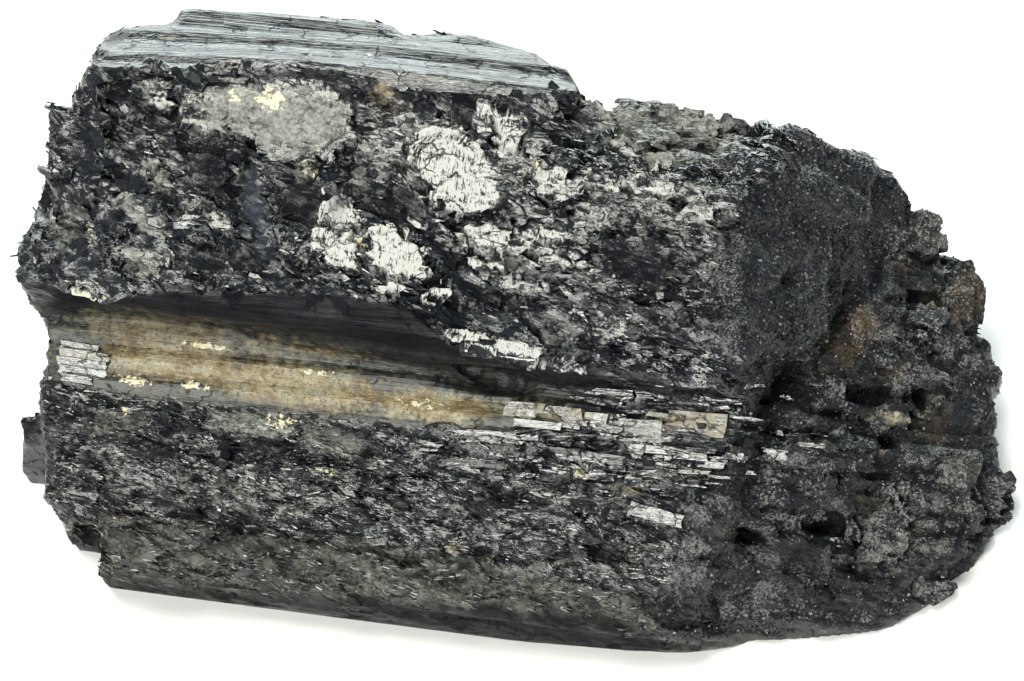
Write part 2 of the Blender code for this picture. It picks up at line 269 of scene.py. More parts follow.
END_FOOT = [
    (-30, 16), (-16.4, 19.6), (-13.7, 23.4), (-10.9, 25.6), (-7.6, 27.8), (-3.8, 30.6), (-0.5, 35),
    (3.4, 37.7), (5.6, 40.5), (11.1, 42.7), (16, 45),
]


def across(line, s):
    """The line's height on the map at each s."""
    return np.interp(s, [point[0] for point in line], [point[1] for point in line])


def faces_of(p, normal):
    """How far each point belongs to each face of the specimen, from 0 to 1."""
    s, t = on_map(p)
    ragged = 0.45 * drift(p / 2.3, 11) + 0.25 * drift(p / 0.9, 12)
    edge = 0.35

    def over(line, wobble):
        return ramp(t - across(line, s) + wobble * ragged, -edge, edge)

    front = ramp(normal @ BACK, -0.05, 0.2)
    tip = front * ramp(s - across(END_FOOT, t) + ragged, -edge, edge)
    end = front * ramp(s - across(END_TOP, t) + 2.0 * ragged, -1.5, 1.5) * (1.0 - tip)
    end_on = ramp(np.abs(normal[:, 0]) + 0.1 * ragged, 0.5, 0.7)
    left = front * ramp(-normal[:, 0], 0.55, 0.8) * ramp(s, -42.0, -46.0) + (1.0 - front) * end_on
    rest = front - tip - end
    shares = {}
    for name, share in (
        ("crown", over(TOP_EDGE, 1.0) * ramp(s, 8.0, 7.0)),
        ("upper", over(LIP, 0.5)),
        ("groove", over(GROOVE, 0.3) * ramp(s + 4.0 * ragged, -1.0, -4.0)),
        ("stain", over(STAIN_EDGE, 1.0) * ramp(s + 6.0 * ragged, 12.0, 8.0)),
        ("laths", over(LATH_EDGE, 1.0) * ramp(s, -12.0, -8.0)),
        ("bark", over(CREVICE, 1.0)),
        ("shelf", ramp(t - across(TOE, s) + 1.6 * ragged, -1.5, 0.7)),
    ):
        shares[name] = rest * share
        rest = rest * (1.0 - share)
    shares["undercut"] = rest
    shares["end"] = end
    shares["tip"] = tip
    shares = {name: share * (1.0 - left) for name, share in shares.items()}
    shares["left"] = left
    shares["rear"] = (1.0 - front) * (1.0 - end_on)
    return shares


def turned_about(s, t, place_s, place_t, turn):
    """How far each point lies along and aside from a place on the map that is turned."""
    cosine, sine = math.cos(math.radians(turn)), math.sin(math.radians(turn))
    return (
        (s - place_s) * cosine + (t - place_t) * sine,
        (t - place_t) * cosine - (s - place_s) * sine)


def weighed(face, **weights):
    """The faces' shares added up, each by its own weight."""
    return sum(weight * face[name] for name, weight in weights.items())


def spot(s, t, place_s, place_t, length, width, turn):
    """1 at the middle of an oval place on the map, falling to 0 past its edge."""
    along, aside = turned_about(s, t, place_s, place_t, turn)
    return ramp(np.hypot(along / length, aside / width), 1.35, 0.35)


def painted(s, t, places):
    """The strongest of some oval places at each point. A place's strength comes last."""
    strongest = np.zeros(len(s))
    for place in places:
        strongest = np.maximum(strongest, place[-1] * spot(s, t, *place[:-1]))
    return strongest


# Where the chips are turned to the light, and where the broken faces are sunk and painted darker
# as shade. Each has its place on the map, half length, half width, turn and strength.
BRIGHT = [
    (9.7, 17.7, 6.6, 2.4, -8, 0.75), (16.3, 16.6, 6.6, 2.9, -18, 0.85), (2, 19.3, 2.6, 4.4, -20, 0.7),
    (3.6, 11.6, 4.8, 2.9, -10, 0.75), (-2.4, 10.5, 5.5, 2.4, -8, 0.8), (10.8, 23.7, 6.6, 2, -8, 0.4),
    (20.7, 21, 5.5, 2.2, -14, 0.4), (-31.9, 25.1, 5.5, 2.9, -10, 0.5), (-23.1, 23.8, 5.5, 3.5, 0, 0.6),
    (-38.7, 27.6, 2.9, 2, -50, 0.5), (-41.1, 9.1, 3.7, 2.6, -30, 0.3), (-46.4, 5.6, 3.7, 1.3, -14, 0.6),
    (-33.4, 13.8, 3.7, 1.4, -20, 0.6), (-12.5, 24.5, 5, 1.8, -8, 0.5), (-4.6, -0.5, 6.6, 1.5, -8, 0.7),
    (5.3, -2.7, 4.8, 1.1, -6, 0.5), (-39.8, -10.9, 9.9, 1.5, -6, 0.5), (-43.1, -14.2, 5.5, 1.3, -6, 0.45),
    (-28.8, -9.3, 4.4, 1.5, -4, 0.55), (-20, -10.9, 4, 2, -10, 0.5), (-29.9, -15.3, 7.7, 2.4, -8, 0.5),
    (-18.9, -17.5, 7.7, 2.4, -10, 0.5), (-10.1, -14.2, 6.6, 1.8, -8, 0.4), (-9, -19.7, 7.7, 2.6, -10, 0.45),
    (2, -21.9, 8.8, 3.3, -10, 0.4), (9.7, -26.3, 9.9, 2.6, -10, 0.35), (14.1, -14.2, 4.4, 1.3, -6, 0.4),
    (15.7, -19.2, 3.1, 0.9, -14, 0.95), (5.3, -7.9, 5.9, 1.3, -4, 0.95), (14.1, -10.1, 2.6, 1.3, -4, 0.8),
    (-5.7, -10.6, 3.7, 0.6, -5, 0.95), (9.7, -13.7, 4.4, 0.9, -6, 0.7), (19.6, -12.6, 3.3, 0.9, -4, 0.6),
    (-47, -2.3, 2.9, 2.2, -6, 1), (42.7, 0.4, 2.2, 1.1, -4, 0.8), (28.9, -12.6, 1.3, 0.6, -6, 1),
    (30.6, -10.9, 3.3, 0.7, -6, 0.6),
]
SUNKEN = [
    (-40.9, 25.9, 4, 2.2, 0, 0.7), (-32, 18.8, 5, 3.4, -30, 1), (-31, 9.2, 7.5, 2.2, -6, 0.95),
    (-23.2, 15.8, 3.8, 4.2, 0, 1), (-14.4, 16.2, 7, 3.2, -34, 1), (-2.6, 8.4, 6.5, 1.4, -10, 0.85),
    (14.1, 8.6, 7.7, 2.6, -10, 0.9), (-1.3, 4.5, 5.5, 1.5, -10, 0.8), (-23.3, 28.9, 7, 1, -3, 0.9),
    (-4.1, 26.1, 5.7, 0.8, -6, 0.9), (-42, 28.9, 3.7, 1, 0, 0.7), (-39.6, 3.9, 12, 0.8, -6, 0.6),
    (5.3, 1.2, 4.8, 1.8, -12, 0.7), (18.5, 1.2, 5.5, 3.3, -10, 0.6), (-2.4, -4.3, 5.5, 1.5, -6, 0.8),
    (14.1, -6, 7.7, 1.3, -8, 0.7), (-21.1, -13.4, 12.1, 0.9, -8, 0.6), (-1.3, -17.5, 6.6, 0.9, -8, 0.6),
    (19.6, -14.2, 5.5, 1.1, -30, 0.6), (-23.3, 3.9, 13.2, 1, -8, 0.6), (-3.5, 23.7, 6, 1, -33, 1),
    (-45.8, -23.4, 1.4, 1.8, 0, 1), (31, -4, 6, 1.6, 42, 0.8), (24, -14, 5, 0.8, 40, 0.8),
    (34, -24.5, 9, 5, 0, 0.6), (46, -24, 7, 4, 0, 0.35), (-37, 2, 14, 1, -7, 0.4),
]

# Scars: smooth facets in the broken faces, as big as a fingernail or smaller. Each has its
# place on the map, half length, half width, turn, rise, lean right, lean back and polish.
SCARS = [
    (-6, 18.5, 5.9, 3.6, -45, 0.9, 0, 0, 1), (-1.3, 23.2, 3.4, 2.2, -35, 0.6, 1, 2, 0.9),
    (-19, 13.8, 2, 1.3, -22, 0.9, 0, -1, 1), (-19.5, 10.4, 3.7, 1.9, -32, 0.6, -1, 1, 1),
    (-12.5, 9.5, 3.9, 2.5, -40, 0.8, 1, 0, 1), (-13.5, 5.8, 2, 0.6, -8, 0.5, 0, 1, 0.9),
    (-8.7, 5.4, 2.1, 0.7, -6, 0.6, 0, 0, 1), (-7.2, 3.1, 2.2, 0.6, -15, 0.4, 0, 2, 0.9),
    (-11.8, 24.5, 4.8, 1.3, -8, 0.2, 2, 7, 0.4), (-14, 21.6, 3.3, 2.1, -20, -0.4, 6, -7, 0.3),
    (-16.1, 17.9, 2.4, 1.6, 0, -0.5, 9, -6, 0.35), (-12.9, 13.8, 5.1, 1.3, -28, -1, 14, -12, 0.2),
    (-1.9, 11.1, 4.4, 1.4, -8, 0.5, 1, 1, 0.85), (-3.3, 8.4, 2.3, 0.4, -10, 0.4, 0, 0, 0.9),
    (1.4, 16.2, 1.2, 1.1, 0, 0.5, 1, 1, 0.9), (-40.7, 13.6, 3.5, 1.2, -40, 0.4, 6, 4, 0.5),
    (-39.2, 18.5, 3.7, 0.9, -48, 0.3, 8, 6, 0.45), (-33.4, 13.8, 3.7, 1.1, -20, 0.4, 3, 3, 0.7),
    (-28.2, 14.4, 1.7, 6.6, 3, -0.3, -20, -20, 0.2), (-41.1, 9.1, 2.9, 1.8, -30, 0.1, 4, 5, 0.4),
    (-45.9, 5.4, 2.2, 0.8, -22, 0.5, 1, 2, 0.8), (-30, 25.5, 6.4, 3.2, -4, 0.2, 0, 2, 0.55),
    (-23.4, 24.2, 6, 4.5, 0, 0.3, 0, 2, 0.6), (-38.7, 27.6, 2.4, 1.5, -60, 0.2, 3, 5, 0.6),
    (-43.1, 25.9, 2, 2.9, 0, -0.9, -12, -12, 0.1), (-33.8, 18.8, 2.4, 2, -30, -0.9, -14, -12, 0.1),
    (-33.8, 9.4, 3.7, 1.8, -8, -0.6, 12, -14, 0.15), (-23.3, 15.5, 2.6, 2.2, 0, -0.9, 14, -14, 0.15),
    (-23.3, 10, 1.8, 1.5, 0, -0.3, 10, -8, 0.3), (5.3, 17.1, 2.9, 1.8, -20, 0.3, 1, 2, 0.7),
    (9.7, 17.9, 3.3, 1.3, -10, 0.3, 1, 3, 0.75), (15.7, 16.6, 2.9, 1.5, -20, 0.3, 2, 2, 0.75),
    (20.7, 14.9, 2, 1.1, -20, 0.2, 2, 3, 0.6), (3.6, 11.9, 3.5, 1.1, -12, 0.5, 0, 1, 0.8),
    (8.6, 13.8, 2.6, 1.3, -14, 0.2, 4, 0, 0.5), (5.3, 8.9, 3.3, 0.8, -12, 0.4, 0, 0, 0.7),
    (0.9, 6.1, 3.7, 0.7, -14, 0.3, 1, 0, 0.6), (14.1, 8.6, 4.8, 2, -14, -0.4, 10, -10, 0.15),
    (8.6, 24.3, 3.7, 1.5, -14, -0.2, 6, 10, 0.3), (19.6, 23.8, 4.8, 1, -9, 0.1, 4, 14, 0.4),
    (14.1, 20.4, 3.7, 1, -12, 0, 3, 5, 0.5), (-1.3, -0.6, 4.8, 0.8, -8, 0.5, 0, 1, 0.95),
    (5.3, -2.8, 3.7, 0.7, -8, 0.4, 0, 2, 0.7), (-4.6, 0.7, 2.2, 0.8, -15, 0.5, 0, 1, 0.95),
    (10.8, 1.2, 4.4, 0.9, -10, 0.1, 6, -4, 0.4), (19.6, 0.1, 3.7, 1.3, -20, 0, 8, -6, 0.3),
    (5.3, 2.5, 3.7, 0.9, -14, -0.3, 9, -9, 0.2), (-46.3, 21, 1.5, 7.5, -7, 0.2, -24, -6, 0.25),
]


def slope_towards(facing, normal):
    """The slope that turns a surface with this normal to face the given way."""
    return normal - facing / np.maximum((normal * facing).sum(axis=1), 0.35)[:, None]


def scarred(p, normal, middles, height, slope, amount, scars):
    """Lays each scar's flat facet into the relief. Its outline follows the edges of small chips."""
    s, t = on_map(middles)
    sheen = np.zeros(len(p))
    for place_s, place_t, length, width, turn, rise, lean_right, lean_back, polish in scars:
        along, aside = turned_about(s, t, place_s, place_t, turn)
        far = np.hypot(along / length, aside / width)
        middle = p[(far < 0.5) & (amount > 0.5)]
        if not len(middle):
            continue
        facing = MIRROR + math.radians(lean_right) * RIGHT + math.radians(lean_back) * UP
        facing = (facing / np.linalg.norm(facing))[None, :]
        inside = (far < 1.0) * amount
        across_facet = np.maximum((normal * facing).sum(axis=1), 0.4)
        level = ((middle.mean(axis=0) - p) * facing).sum(axis=1) / across_facet
        flat = np.clip(level, -1.6, 1.6) + rise
        below = np.hypot(along / length, (aside + 0.3 * width) / width)
        moat = 0.9 * (far >= 1.0) * ramp(below, 1.45, 1.1) * amount
        height = height * (1.0 - inside) + flat * inside - moat
        slope = slope * (1.0 - inside[:, None]) + slope_towards(facing, normal) * inside[:, None]
        sheen = np.where(inside > 0.5, polish, sheen)
    return height, slope, sheen


# Facets on the broken tip, given in the same way, and square-walled pits: place on the map,
# half length, half width, turn and depth.
LEDGES = [
    (44.3, -0.5, 2.3, 1.1, -6, 0.5, 0, 0, 0.9), (45.2, 2.5, 2.4, 1, -4, 0.3, 4, 8, 0.3),
    (41.3, -8.5, 3.3, 1, -4, 0.1, 3, 9, 0.2), (40.9, -21.4, 2.6, 3.3, -30, 0.5, 6, -14, 0.15),
    (36.8, -20, 1.5, 1.2, 0, 0.2, 0, -10, 0.15), (28.9, -12.6, 1.3, 0.6, -6, 0.5, 0, 0, 1),
    (30.4, -10.2, 3.6, 0.7, -6, 0.4, 0, 1, 0.7), (33.6, -14.4, 3, 0.6, -6, 0.3, 0, 2, 0.6),
    (44.6, 12, 3, 2.4, -30, 0.4, 12, 10, 0.1), (49.8, 4.8, 1.7, 4.2, 0, 0.5, 12, -8, 0.1),
    (46.6, -27.6, 2.4, 1.2, -14, 0.3, 4, -12, 0.2), (53.2, -17, 1.6, 2.4, 0, 0.4, 8, -8, 0.1),
    (31.6, -19.6, 3.6, 1.4, -12, 0.2, 2, -6, 0.3), (42.6, -17, 3, 0.8, -8, 0.3, 0, 3, 0.4),
]
PITS = [
    (45.4, 4.7, 2.3, 0.8, -4, 1.8), (41.4, -6.1, 4.7, 1.1, -4, 2.2), (41.4, -11.2, 1.2, 0.8, 0, 1.7),
    (37, -22.4, 1.5, 0.9, -4, 1.9), (37, -25.2, 1.5, 0.7, -4, 1), (-46.8, -21.6, 1.4, 1.7, 0, 1.9),
    (34.6, -8, 2, 0.5, -6, 1), (38.6, -14.8, 3, 0.5, -6, 0.9),
]


def pitted(p, s, t):
    """How far the pits sink the surface, in millimetres."""
    s = s + 0.15 * drift(p / 1.4, 45)
    t = t + 0.12 * drift(p / 1.4, 46)
    deepest = np.zeros(len(p))
    for place_s, place_t, length, width, turn, depth in PITS:
        along, aside = turned_about(s, t, place_s, place_t, turn)
        far = np.maximum(np.abs(along) - length, np.abs(aside) - width)
        deepest = np.maximum(deepest, depth * ramp(far, 0.06, -0.2))
    return deepest


# Cracks and creases that cross the faces, drawn on the map: points, half width, depth.
CRACKS = [
    ([(-24.4, 23.4), (-22.4, 25.1), (-20.6, 26.3)], 0.22, 0.4),
    ([(-7.5, 18.5), (-5.2, 18.1), (-2.9, 17.9)], 0.2, 0.4),
    ([(-8.7, 26.9), (-4.6, 25.1), (-1.3, 22.6), (1.4, 20.5)], 0.9, 1.5),
    ([(-12, 21), (-10.7, 17.1), (-7.9, 14.6), (-3.5, 13), (-0.4, 14.9)], 0.7, 1.3),
    ([(-20.9, 13), (-19.4, 11.5), (-17.6, 12.2), (-16.9, 14.1)], 0.4, 0.9),
    ([(-18.4, 14.9), (-14.5, 13.8), (-10.7, 11.1), (-8.8, 7.8), (-9.2, 6.1)], 0.9, 1.4),
    ([(-23.3, 8.6), (-20, 6.7), (-16.2, 5.3), (-11.8, 4.5), (-7.9, 4.5)], 0.45, 0.8),
    ([(-23.3, 8.6), (-22, 12.7), (-20.9, 15.5)], 0.4, 0.8),
    ([(-31, 23.4), (-28.3, 21), (-24.4, 19.6), (-20, 21), (-18.4, 23.2)], 0.4, 0.8),
    ([(-45.3, 25.4), (-41.5, 23.2), (-39.8, 19.9)], 0.5, 0.9),
    ([(-38.1, 19.3), (-34.3, 17.1), (-30.5, 17.7)], 0.5, 0.9),
    ([(-38.2, 11.9), (-34.3, 10.5), (-29.9, 11.1), (-28.8, 8.6)], 0.5, 0.9),
    ([(3.1, 15.5), (7.5, 13.8), (11.9, 12.4), (19.6, 11.6), (25.1, 12.7)], 0.5, 1),
    ([(-1.3, 7.2), (5.3, 6.1), (11.9, 4.5), (19.6, 3.9)], 0.45, 0.9),
    ([(-6.3, 1.7), (0.9, 0.1), (9.7, -1), (18.5, -2.4)], 0.4, 0.8),
    ([(33, -2.2), (30.6, -3.8), (27.8, -7.6), (25.6, -10.9), (23.4, -13.7), (19.6, -16.4)], 0.8, 1.4),
    ([(35.4, -19), (35.2, -28.6)], 0.4, 1.1),
    ([(38.8, -19), (38.8, -28)], 0.3, 0.8),
    ([(-34.3, -12.6), (-27.7, -13.4), (-20, -13.4), (-10.1, -15.1), (0.9, -17.5)], 0.6, 1.2),
    ([(-46, -9.5), (-38, -11), (-30, -14.6), (-24, -17.4)], 0.5, 0.9),
    ([(-22, -15.4), (-14, -17.6), (-6, -21.4)], 0.5, 1),
    ([(-2, -19.6), (6, -22), (14, -24.6)], 0.5, 0.9),
    ([(-45.3, -18.9), (-35.4, -20), (-23.3, -21.9), (-12.3, -23.6), (-6.5, -24.4)], 0.7, 1.4),
    ([(-4.6, -9.8), (3.1, -10.6), (5.3, -11.7), (11.9, -12)], 0.35, 0.9),
    ([(5.3, -13.4), (11.9, -14.2), (19.6, -14)], 0.35, 0.9),
    ([(-9, -12), (-1.3, -13.4), (5.3, -15.3), (14.1, -16.7)], 0.4, 0.9),
]


def crack_depth(p, amount):
    """How deep the cracks cut, in millimetres."""
    s, t = on_map(p)
    s = s + 0.5 * drift(p / 1.5, 41) + 0.2 * drift(p / 0.5, 42)
    t = t + 0.5 * drift(p / 1.5, 43) + 0.2 * drift(p / 0.5, 44)
    deepest = np.zeros(len(p))
    for points, width, depth in CRACKS:
        for (s0, t0), (s1, t1) in zip(points, points[1:]):
            run = np.array([s1 - s0, t1 - t0])
            share = np.clip(((s - s0) * run[0] + (t - t0) * run[1]) / (run @ run), 0.0, 1.0)
            far = np.hypot(s - s0 - share * run[0], t - t0 - share * run[1])
            deepest = np.maximum(deepest, depth * ramp(far, width, 0.0))
    return deepest * amount


def averaged(mesh, values, rounds):
    """The values smoothed over the mesh, each point taking part of its neighbours' mean."""
    ends = np.empty(len(mesh.edges) * 2, np.int32)
    mesh.edges.foreach_get("vertices", ends)
    first, second = ends[0::2], ends[1::2]
    count = np.maximum(np.bincount(ends, minlength=len(values)), 1)
    for _ in range(rounds):
        total = np.bincount(first, values[second], len(values))
        total += np.bincount(second, values[first], len(values))
        values = 0.5 * values + 0.5 * total / count
    return values


# The clean prism end at the lower left, as an oval place on the map, and how steeply the scales
# and the chips fall to the right.
LEFT_STUB = (-53.0, -12.9, 3.6, 4.8, 0.0)
FLOW = 0.30
STEEP_FLOW = 0.80


def sheared(p, fall, sway):
    """The points lifted more and more to the right, so that what is laid on them falls that way."""
    return p + np.array([0.0, 0.0, 1.0]) * (fall * p[:, 0] + sway)[:, None]


def survey(mesh, normal):
    """Each point's place and face, and how far it is turned to the light, sunken and pitted."""
    at = SimpleNamespace(p=read(mesh, "co") / MM, normal=normal)
    at.s, at.t = on_map(at.p)
    at.face = faces_of(at.p, normal)
    at.shown = ramp(normal @ BACK, -0.05, 0.2)
    at.stub = spot(at.s, at.t, *LEFT_STUB)
    bright = painted(at.s, at.t, BRIGHT) * at.shown * (1.0 + 0.9 * at.face["bark"])
    bright_behind = 0.7 * (1.0 - at.shown) * ramp(drift(at.p / 7.0, 71), 0.1, 0.6)
    at.bright = np.maximum(np.minimum(bright, 1.0), bright_behind)
    at.pit = pitted(at.p, at.s, at.t) * weighed(at.face, tip=1, bark=1, shelf=1, left=1)
    at.flaked = ramp(drift(at.p / np.array([9.0, 2.4, 2.4]), 62), 0.15, 0.35)
    sway = 1.6 * drift(at.p / 11.0, 29)
    at.flowing = sheared(at.p, FLOW, sway)
    at.falling = sheared(at.p, STEEP_FLOW, sway)
    furrow = ramp(drift(bent(at.flowing, 3.0, 0.8, 47) / np.array([9.0, 1.7, 1.7]), 48), 0.12, 0.5)
    # What is sunken is lowered here and later painted darker as shade: the places listed, the furrows of the
    # bark, shelf and left end, and the laths' face between the laths.
    sunken = painted(at.s, at.t, SUNKEN) * at.shown * (1.0 - at.face["groove"])
    sunken = np.maximum(sunken, furrow * weighed(at.face, bark=0.85, shelf=0.51, left=0.425))
    at.sunken = np.maximum(sunken, 0.62 * at.face["laths"])
    return at


def fabric(at):
    """The chips of every size, ridges, grit and laths that the faces are made up from."""
    facing = np.where((at.normal @ MIRROR > 0.86)[:, None], MIRROR, FRONT_MIRROR)
    rock = SimpleNamespace(wanted=slope_towards(facing, at.normal))
    rock.steep = np.linalg.norm(rock.wanted, axis=1)
    pull = (at.bright * ramp(rock.steep, 1.5, 0.8))[:, None]
    rock.big = chips(at.falling, **CHIPS["big"])
    rock.mid = chips(at.falling, pull=pull, wanted=rock.wanted - rock.big.slope, **CHIPS["middling"])
    rock.small = chips(at.p, **CHIPS["small"])
    rock.scale = chips(at.flowing, pull=0.8 * pull, wanted=rock.wanted, **CHIPS["scales"])
    rock.flake = chips(at.flowing, **CHIPS["flakes"])
    rock.fine = chips(at.p, pull=pull, wanted=rock.wanted - 0.6 * rock.big.slope, **CHIPS["fine"])
    rock.ridges = 0.16 * fibres(at.p, 1.3, 60.0, 54) + 0.10 * fibres(at.p, 0.5, 30.0, 55)
    rock.ridges += 0.05 * fibres(at.p, 0.25, 12.0, 56)
    rock.gritty = 0.12 * drift(at.p / 0.55, 59) + 0.07 * drift(at.p / 0.28, 65)
    down_grain = at.t + GRAIN_FALL * at.s
    rock.brick = splints(at.s, down_grain + 0.25 * drift(at.p / 4.0, 57), 0.95, 9.0, 60)
    rock.thin_brick = splints(at.s, down_grain + 0.2 * drift(at.p / 2.0, 58), 0.42, 5.0, 63)
    rock.lath_ends = splints(at.s, down_grain, 0.7, 16.0, 66)
    return rock


def upper_face(at, rock):
    """The broken upper face, chips on chips, with its scars: height, slope and polish."""
    big, mid, small, fine = rock.big, rock.mid, rock.small, rock.fine
    grained = ramp(at.s, 6.0, 11.0)
    middling = mid.height * (1.0 - grained) + (0.4 * mid.height + fine.height) * grained
    middling_slope = mid.slope * (1.0 - grained)[:, None]
    middling_slope += (0.3 * mid.slope + fine.slope) * grained[:, None]
    height = big.height + middling + 0.6 * small.height - 0.20 * mid.edge - 0.04 * small.edge
    slope = big.slope + middling_slope + 0.5 * small.slope
    middles = at.p - small.off
    height, slope, sheen = scarred(at.p, at.normal, middles, height, slope, at.face["upper"], SCARS)
    height = height - 0.05 * small.edge * ramp(sheen, 0.0, 0.5)
    return height, slope + 0.45 * small.slope * (sheen > 0.0)[:, None], sheen


def broken_tip(at, rock):
    """The broken tip, blocky and gritty, with its ledges: height, slope and polish."""
    big, mid, small = rock.big, rock.mid, rock.small
    height = 0.35 * big.height + 0.30 * mid.height + 0.4 * small.height
    height = height + 0.9 * (rock.brick - 0.5) + 0.9 * rock.gritty
    slope = 0.35 * big.slope + 0.35 * mid.slope + 0.6 * small.slope
    return scarred(at.p, at.normal, at.p - small.off, height, slope, at.face["tip"], LEDGES)


def broken_faces(at):
    """Every face broken, flaked or striated in its own way: its height, slope and scars' polish."""
    rock = fabric(at)
    big, mid, small, flake = rock.big, rock.mid, rock.small, rock.flake
    ridges, gritty = rock.ridges, rock.gritty
    scaly = rock.scale.height + flake.height - 0.28 * rock.scale.edge - 0.10 * flake.edge
    scaly_slope = rock.scale.slope + flake.slope
    upper, upper_slope, scar_sheen = upper_face(at, rock)
    tip, tip_slope, ledge_sheen = broken_tip(at, rock)
    heights = {
        "upper": upper, "tip": tip, "groove": 0.9 * ridges,
        "crown": 0.6 * ridges + 0.15 * (rock.lath_ends - 0.5) * at.flaked,
        "stain": 0.6 * ridges + 0.5 * gritty + 0.12 * at.flaked * flake.height,
        "laths": 1.5 * rock.brick + 0.5 * rock.thin_brick - 1.0 + 0.2 * flake.height,
        "bark": scaly + 0.6 * big.height,
        "shelf": scaly + 0.3 * big.height + 0.6 * gritty,
        "undercut": 0.35 * ridges + 0.12 * mid.height + 0.4 * scaly + 0.6 * gritty,
        "end": gritty + 0.12 * mid.height + 0.4 * small.height + 0.08 * big.height,
        "left": gritty + 0.7 * big.height + 0.45 * mid.height + 0.5 * small.height,
        "rear": 1.2 * ridges + at.flaked * (0.5 * big.height + 0.7 * mid.height + 0.5 * small.height),
    }
    reached = ramp(rock.steep, 1.6, 0.9)
    slopes = {
        "upper": upper_slope, "tip": tip_slope,
        "bark": scaly_slope + 0.9 * big.slope,
        "shelf": scaly_slope + 0.5 * big.slope,
        "undercut": 0.5 * scaly_slope,
        "stain": rock.wanted * (at.bright * reached)[:, None],
        "laths": 0.4 * flake.slope + 0.5 * rock.wanted * reached[:, None],
        "end": 0.22 * mid.slope + 0.5 * small.slope,
        "left": 0.7 * big.slope + 0.7 * mid.slope + 0.6 * small.slope,
        "rear": (0.5 * big.slope + 0.7 * mid.slope + 0.5 * small.slope) * at.flaked[:, None],
    }
    height = sum(at.face[name] * own for name, own in heights.items())
    slope = sum(at.face[name][:, None] * own for name, own in slopes.items())
    return height, slope, np.maximum(scar_sheen, ledge_sheen)


def cut_back(at, height, sheen):
    """The height with cracks, the seam before the tip, hollows and pits cut in, held to its limits."""
    cracked = weighed(at.face, upper=1, bark=1, laths=1, shelf=1, end=1, tip=1)
    height = height - crack_depth(at.p, cracked)
    seam = ramp(np.abs(at.s - across(END_FOOT, at.t)), 3.0, 0.5) * ramp(at.t, -4.0, 2.0)
    height += 0.9 * seam * at.face["tip"] - 0.7 * seam * at.face["end"]
    height -= at.sunken * (1.0 - ramp(sheen, 0.2, 0.6)) + at.pit
    height *= 1.0 - 0.85 * at.stub
    square_on = np.abs(at.normal @ BACK)
    height = np.where(height > 0.0, height * (0.15 + 0.85 * ramp(square_on, 0.1, 0.5)), height)
    return np.clip(height, -MOST_SUNK, MOST_RAISED) * ramp(at.p[:, 2], 0.3, 1.6)


def carve(block, normal):
    """Works the relief of every face into the block, and notes how each point faces and looks."""
    mesh = block.data
    at = survey(mesh, normal)
    height, slope, sheen = broken_faces(at)
    height = cut_back(at, height, sheen)
    box_low, box_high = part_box("tourmaline_crystal")
    moved = np.clip((at.p + normal * height[:, None]) * MM, np.array(box_low), np.array(box_high))
    mesh.vertices.foreach_set("co", moved.ravel())
    mesh.update()

    slope *= (1.0 - 0.8 * at.stub)[:, None]
    slope -= normal * (slope * normal).sum(axis=1)[:, None]
    leaning = normal - np.clip(slope, -1.2, 1.2)
    leaning /= np.linalg.norm(leaning, axis=1)[:, None]
    kept = mesh.attributes.new("facing", "FLOAT_VECTOR", "POINT")
    kept.data.foreach_set("vector", leaning.astype(np.float32).ravel())

    dip = averaged(mesh, height, 14) - height
    painted_shade = note_hollows(mesh, at, dip, sheen)
    note_splinters(mesh, at, painted_shade, sheen)
    note_stains(mesh, at)


def note(mesh, name, values):
    """Keeps one value for each point, for the material to read."""
    kept = mesh.attributes.new(name, "FLOAT", "POINT")
    kept.data.foreach_set("value", np.clip(values, 0.0, 1.0).astype(np.float32))


def note_hollows(mesh, at, dip, sheen):
    """Keeps each point's painted shade, in hollows and dips, pits, the groove and the undercut, and how worn,
    glossy and gritty it is; returns the shade.
    """
    # Painted shade in every dip of the relief, in the sunken places and furrows, between the laths, in the
    # pits, in the groove and on the undercut.
    low = ramp(dip, 0.08, 0.6)
    painted_shade = np.maximum(0.9 * at.sunken * (1.0 - ramp(sheen, 0.2, 0.6)), ramp(at.pit, 0.1, 0.8))
    # Painted shade on the stain just below the lip, darkest next to the groove.
    shaded = 0.75 * at.face["stain"] * ramp(at.t - across(GROOVE, at.s), -3.4, -0.6)
    painted_shade = np.maximum(painted_shade, weighed(at.face, groove=0.97, undercut=0.88) + shaded)
    painted_shade = np.maximum(painted_shade, 0.9 * low)
    note(mesh, "hollow_shade", painted_shade)
    note(mesh, "worn", ramp(-dip, 0.05, 0.35))
    note(mesh, "sheen", np.maximum(sheen, at.bright * weighed(at.face, upper=0.6, stain=0.5)))
    note(mesh, "grit", weighed(at.face, end=1, tip=0.8, left=0.3))
    return painted_shade


def note_splinters(mesh, at, painted_shade, sheen):
    """Keeps how thickly flakes, shards and crumbs stand at each point."""
    bare = (1.0 - 0.92 * painted_shade) * (1.0 - ramp(sheen, 0.1, 0.5)) * ramp(at.p[:, 2], 1.0, 3.0)
    bare *= (0.2 + 0.8 * ramp(np.abs(at.normal @ BACK), 0.15, 0.5)) * (1.0 - at.stub)
    note(mesh, "flaky", bare * (
        weighed(at.face, bark=1, shelf=0.55, laths=0.5, left=0.2, rear=0.5 * at.flaked)
        + at.face["upper"] * (0.15 + 0.5 * ramp(at.s, 6.0, 12.0))))
    note(mesh, "shattered", bare * (
        at.face["upper"] * (1.0 - 0.6 * ramp(at.s, 8.0, 18.0)) + weighed(at.face, left=0.2, bark=0.15)))
    note(mesh, "crumbly", bare * (
        weighed(at.face, end=1, tip=0.35, left=0.4, bark=0.3, shelf=0.3)
        + 0.4 * at.face["upper"] * ramp(at.s, 12.0, 20.0)))


def thinned(piece, triangles):
    """The piece brought under this many triangles, flat places first."""
    piece.data.calc_loop_triangles()
    have = len(piece.data.loop_triangles)
    if have > triangles:
        fewer = piece.modifiers.new("fewer", "DECIMATE")
        fewer.ratio = triangles / have
        settled(piece)
    return piece
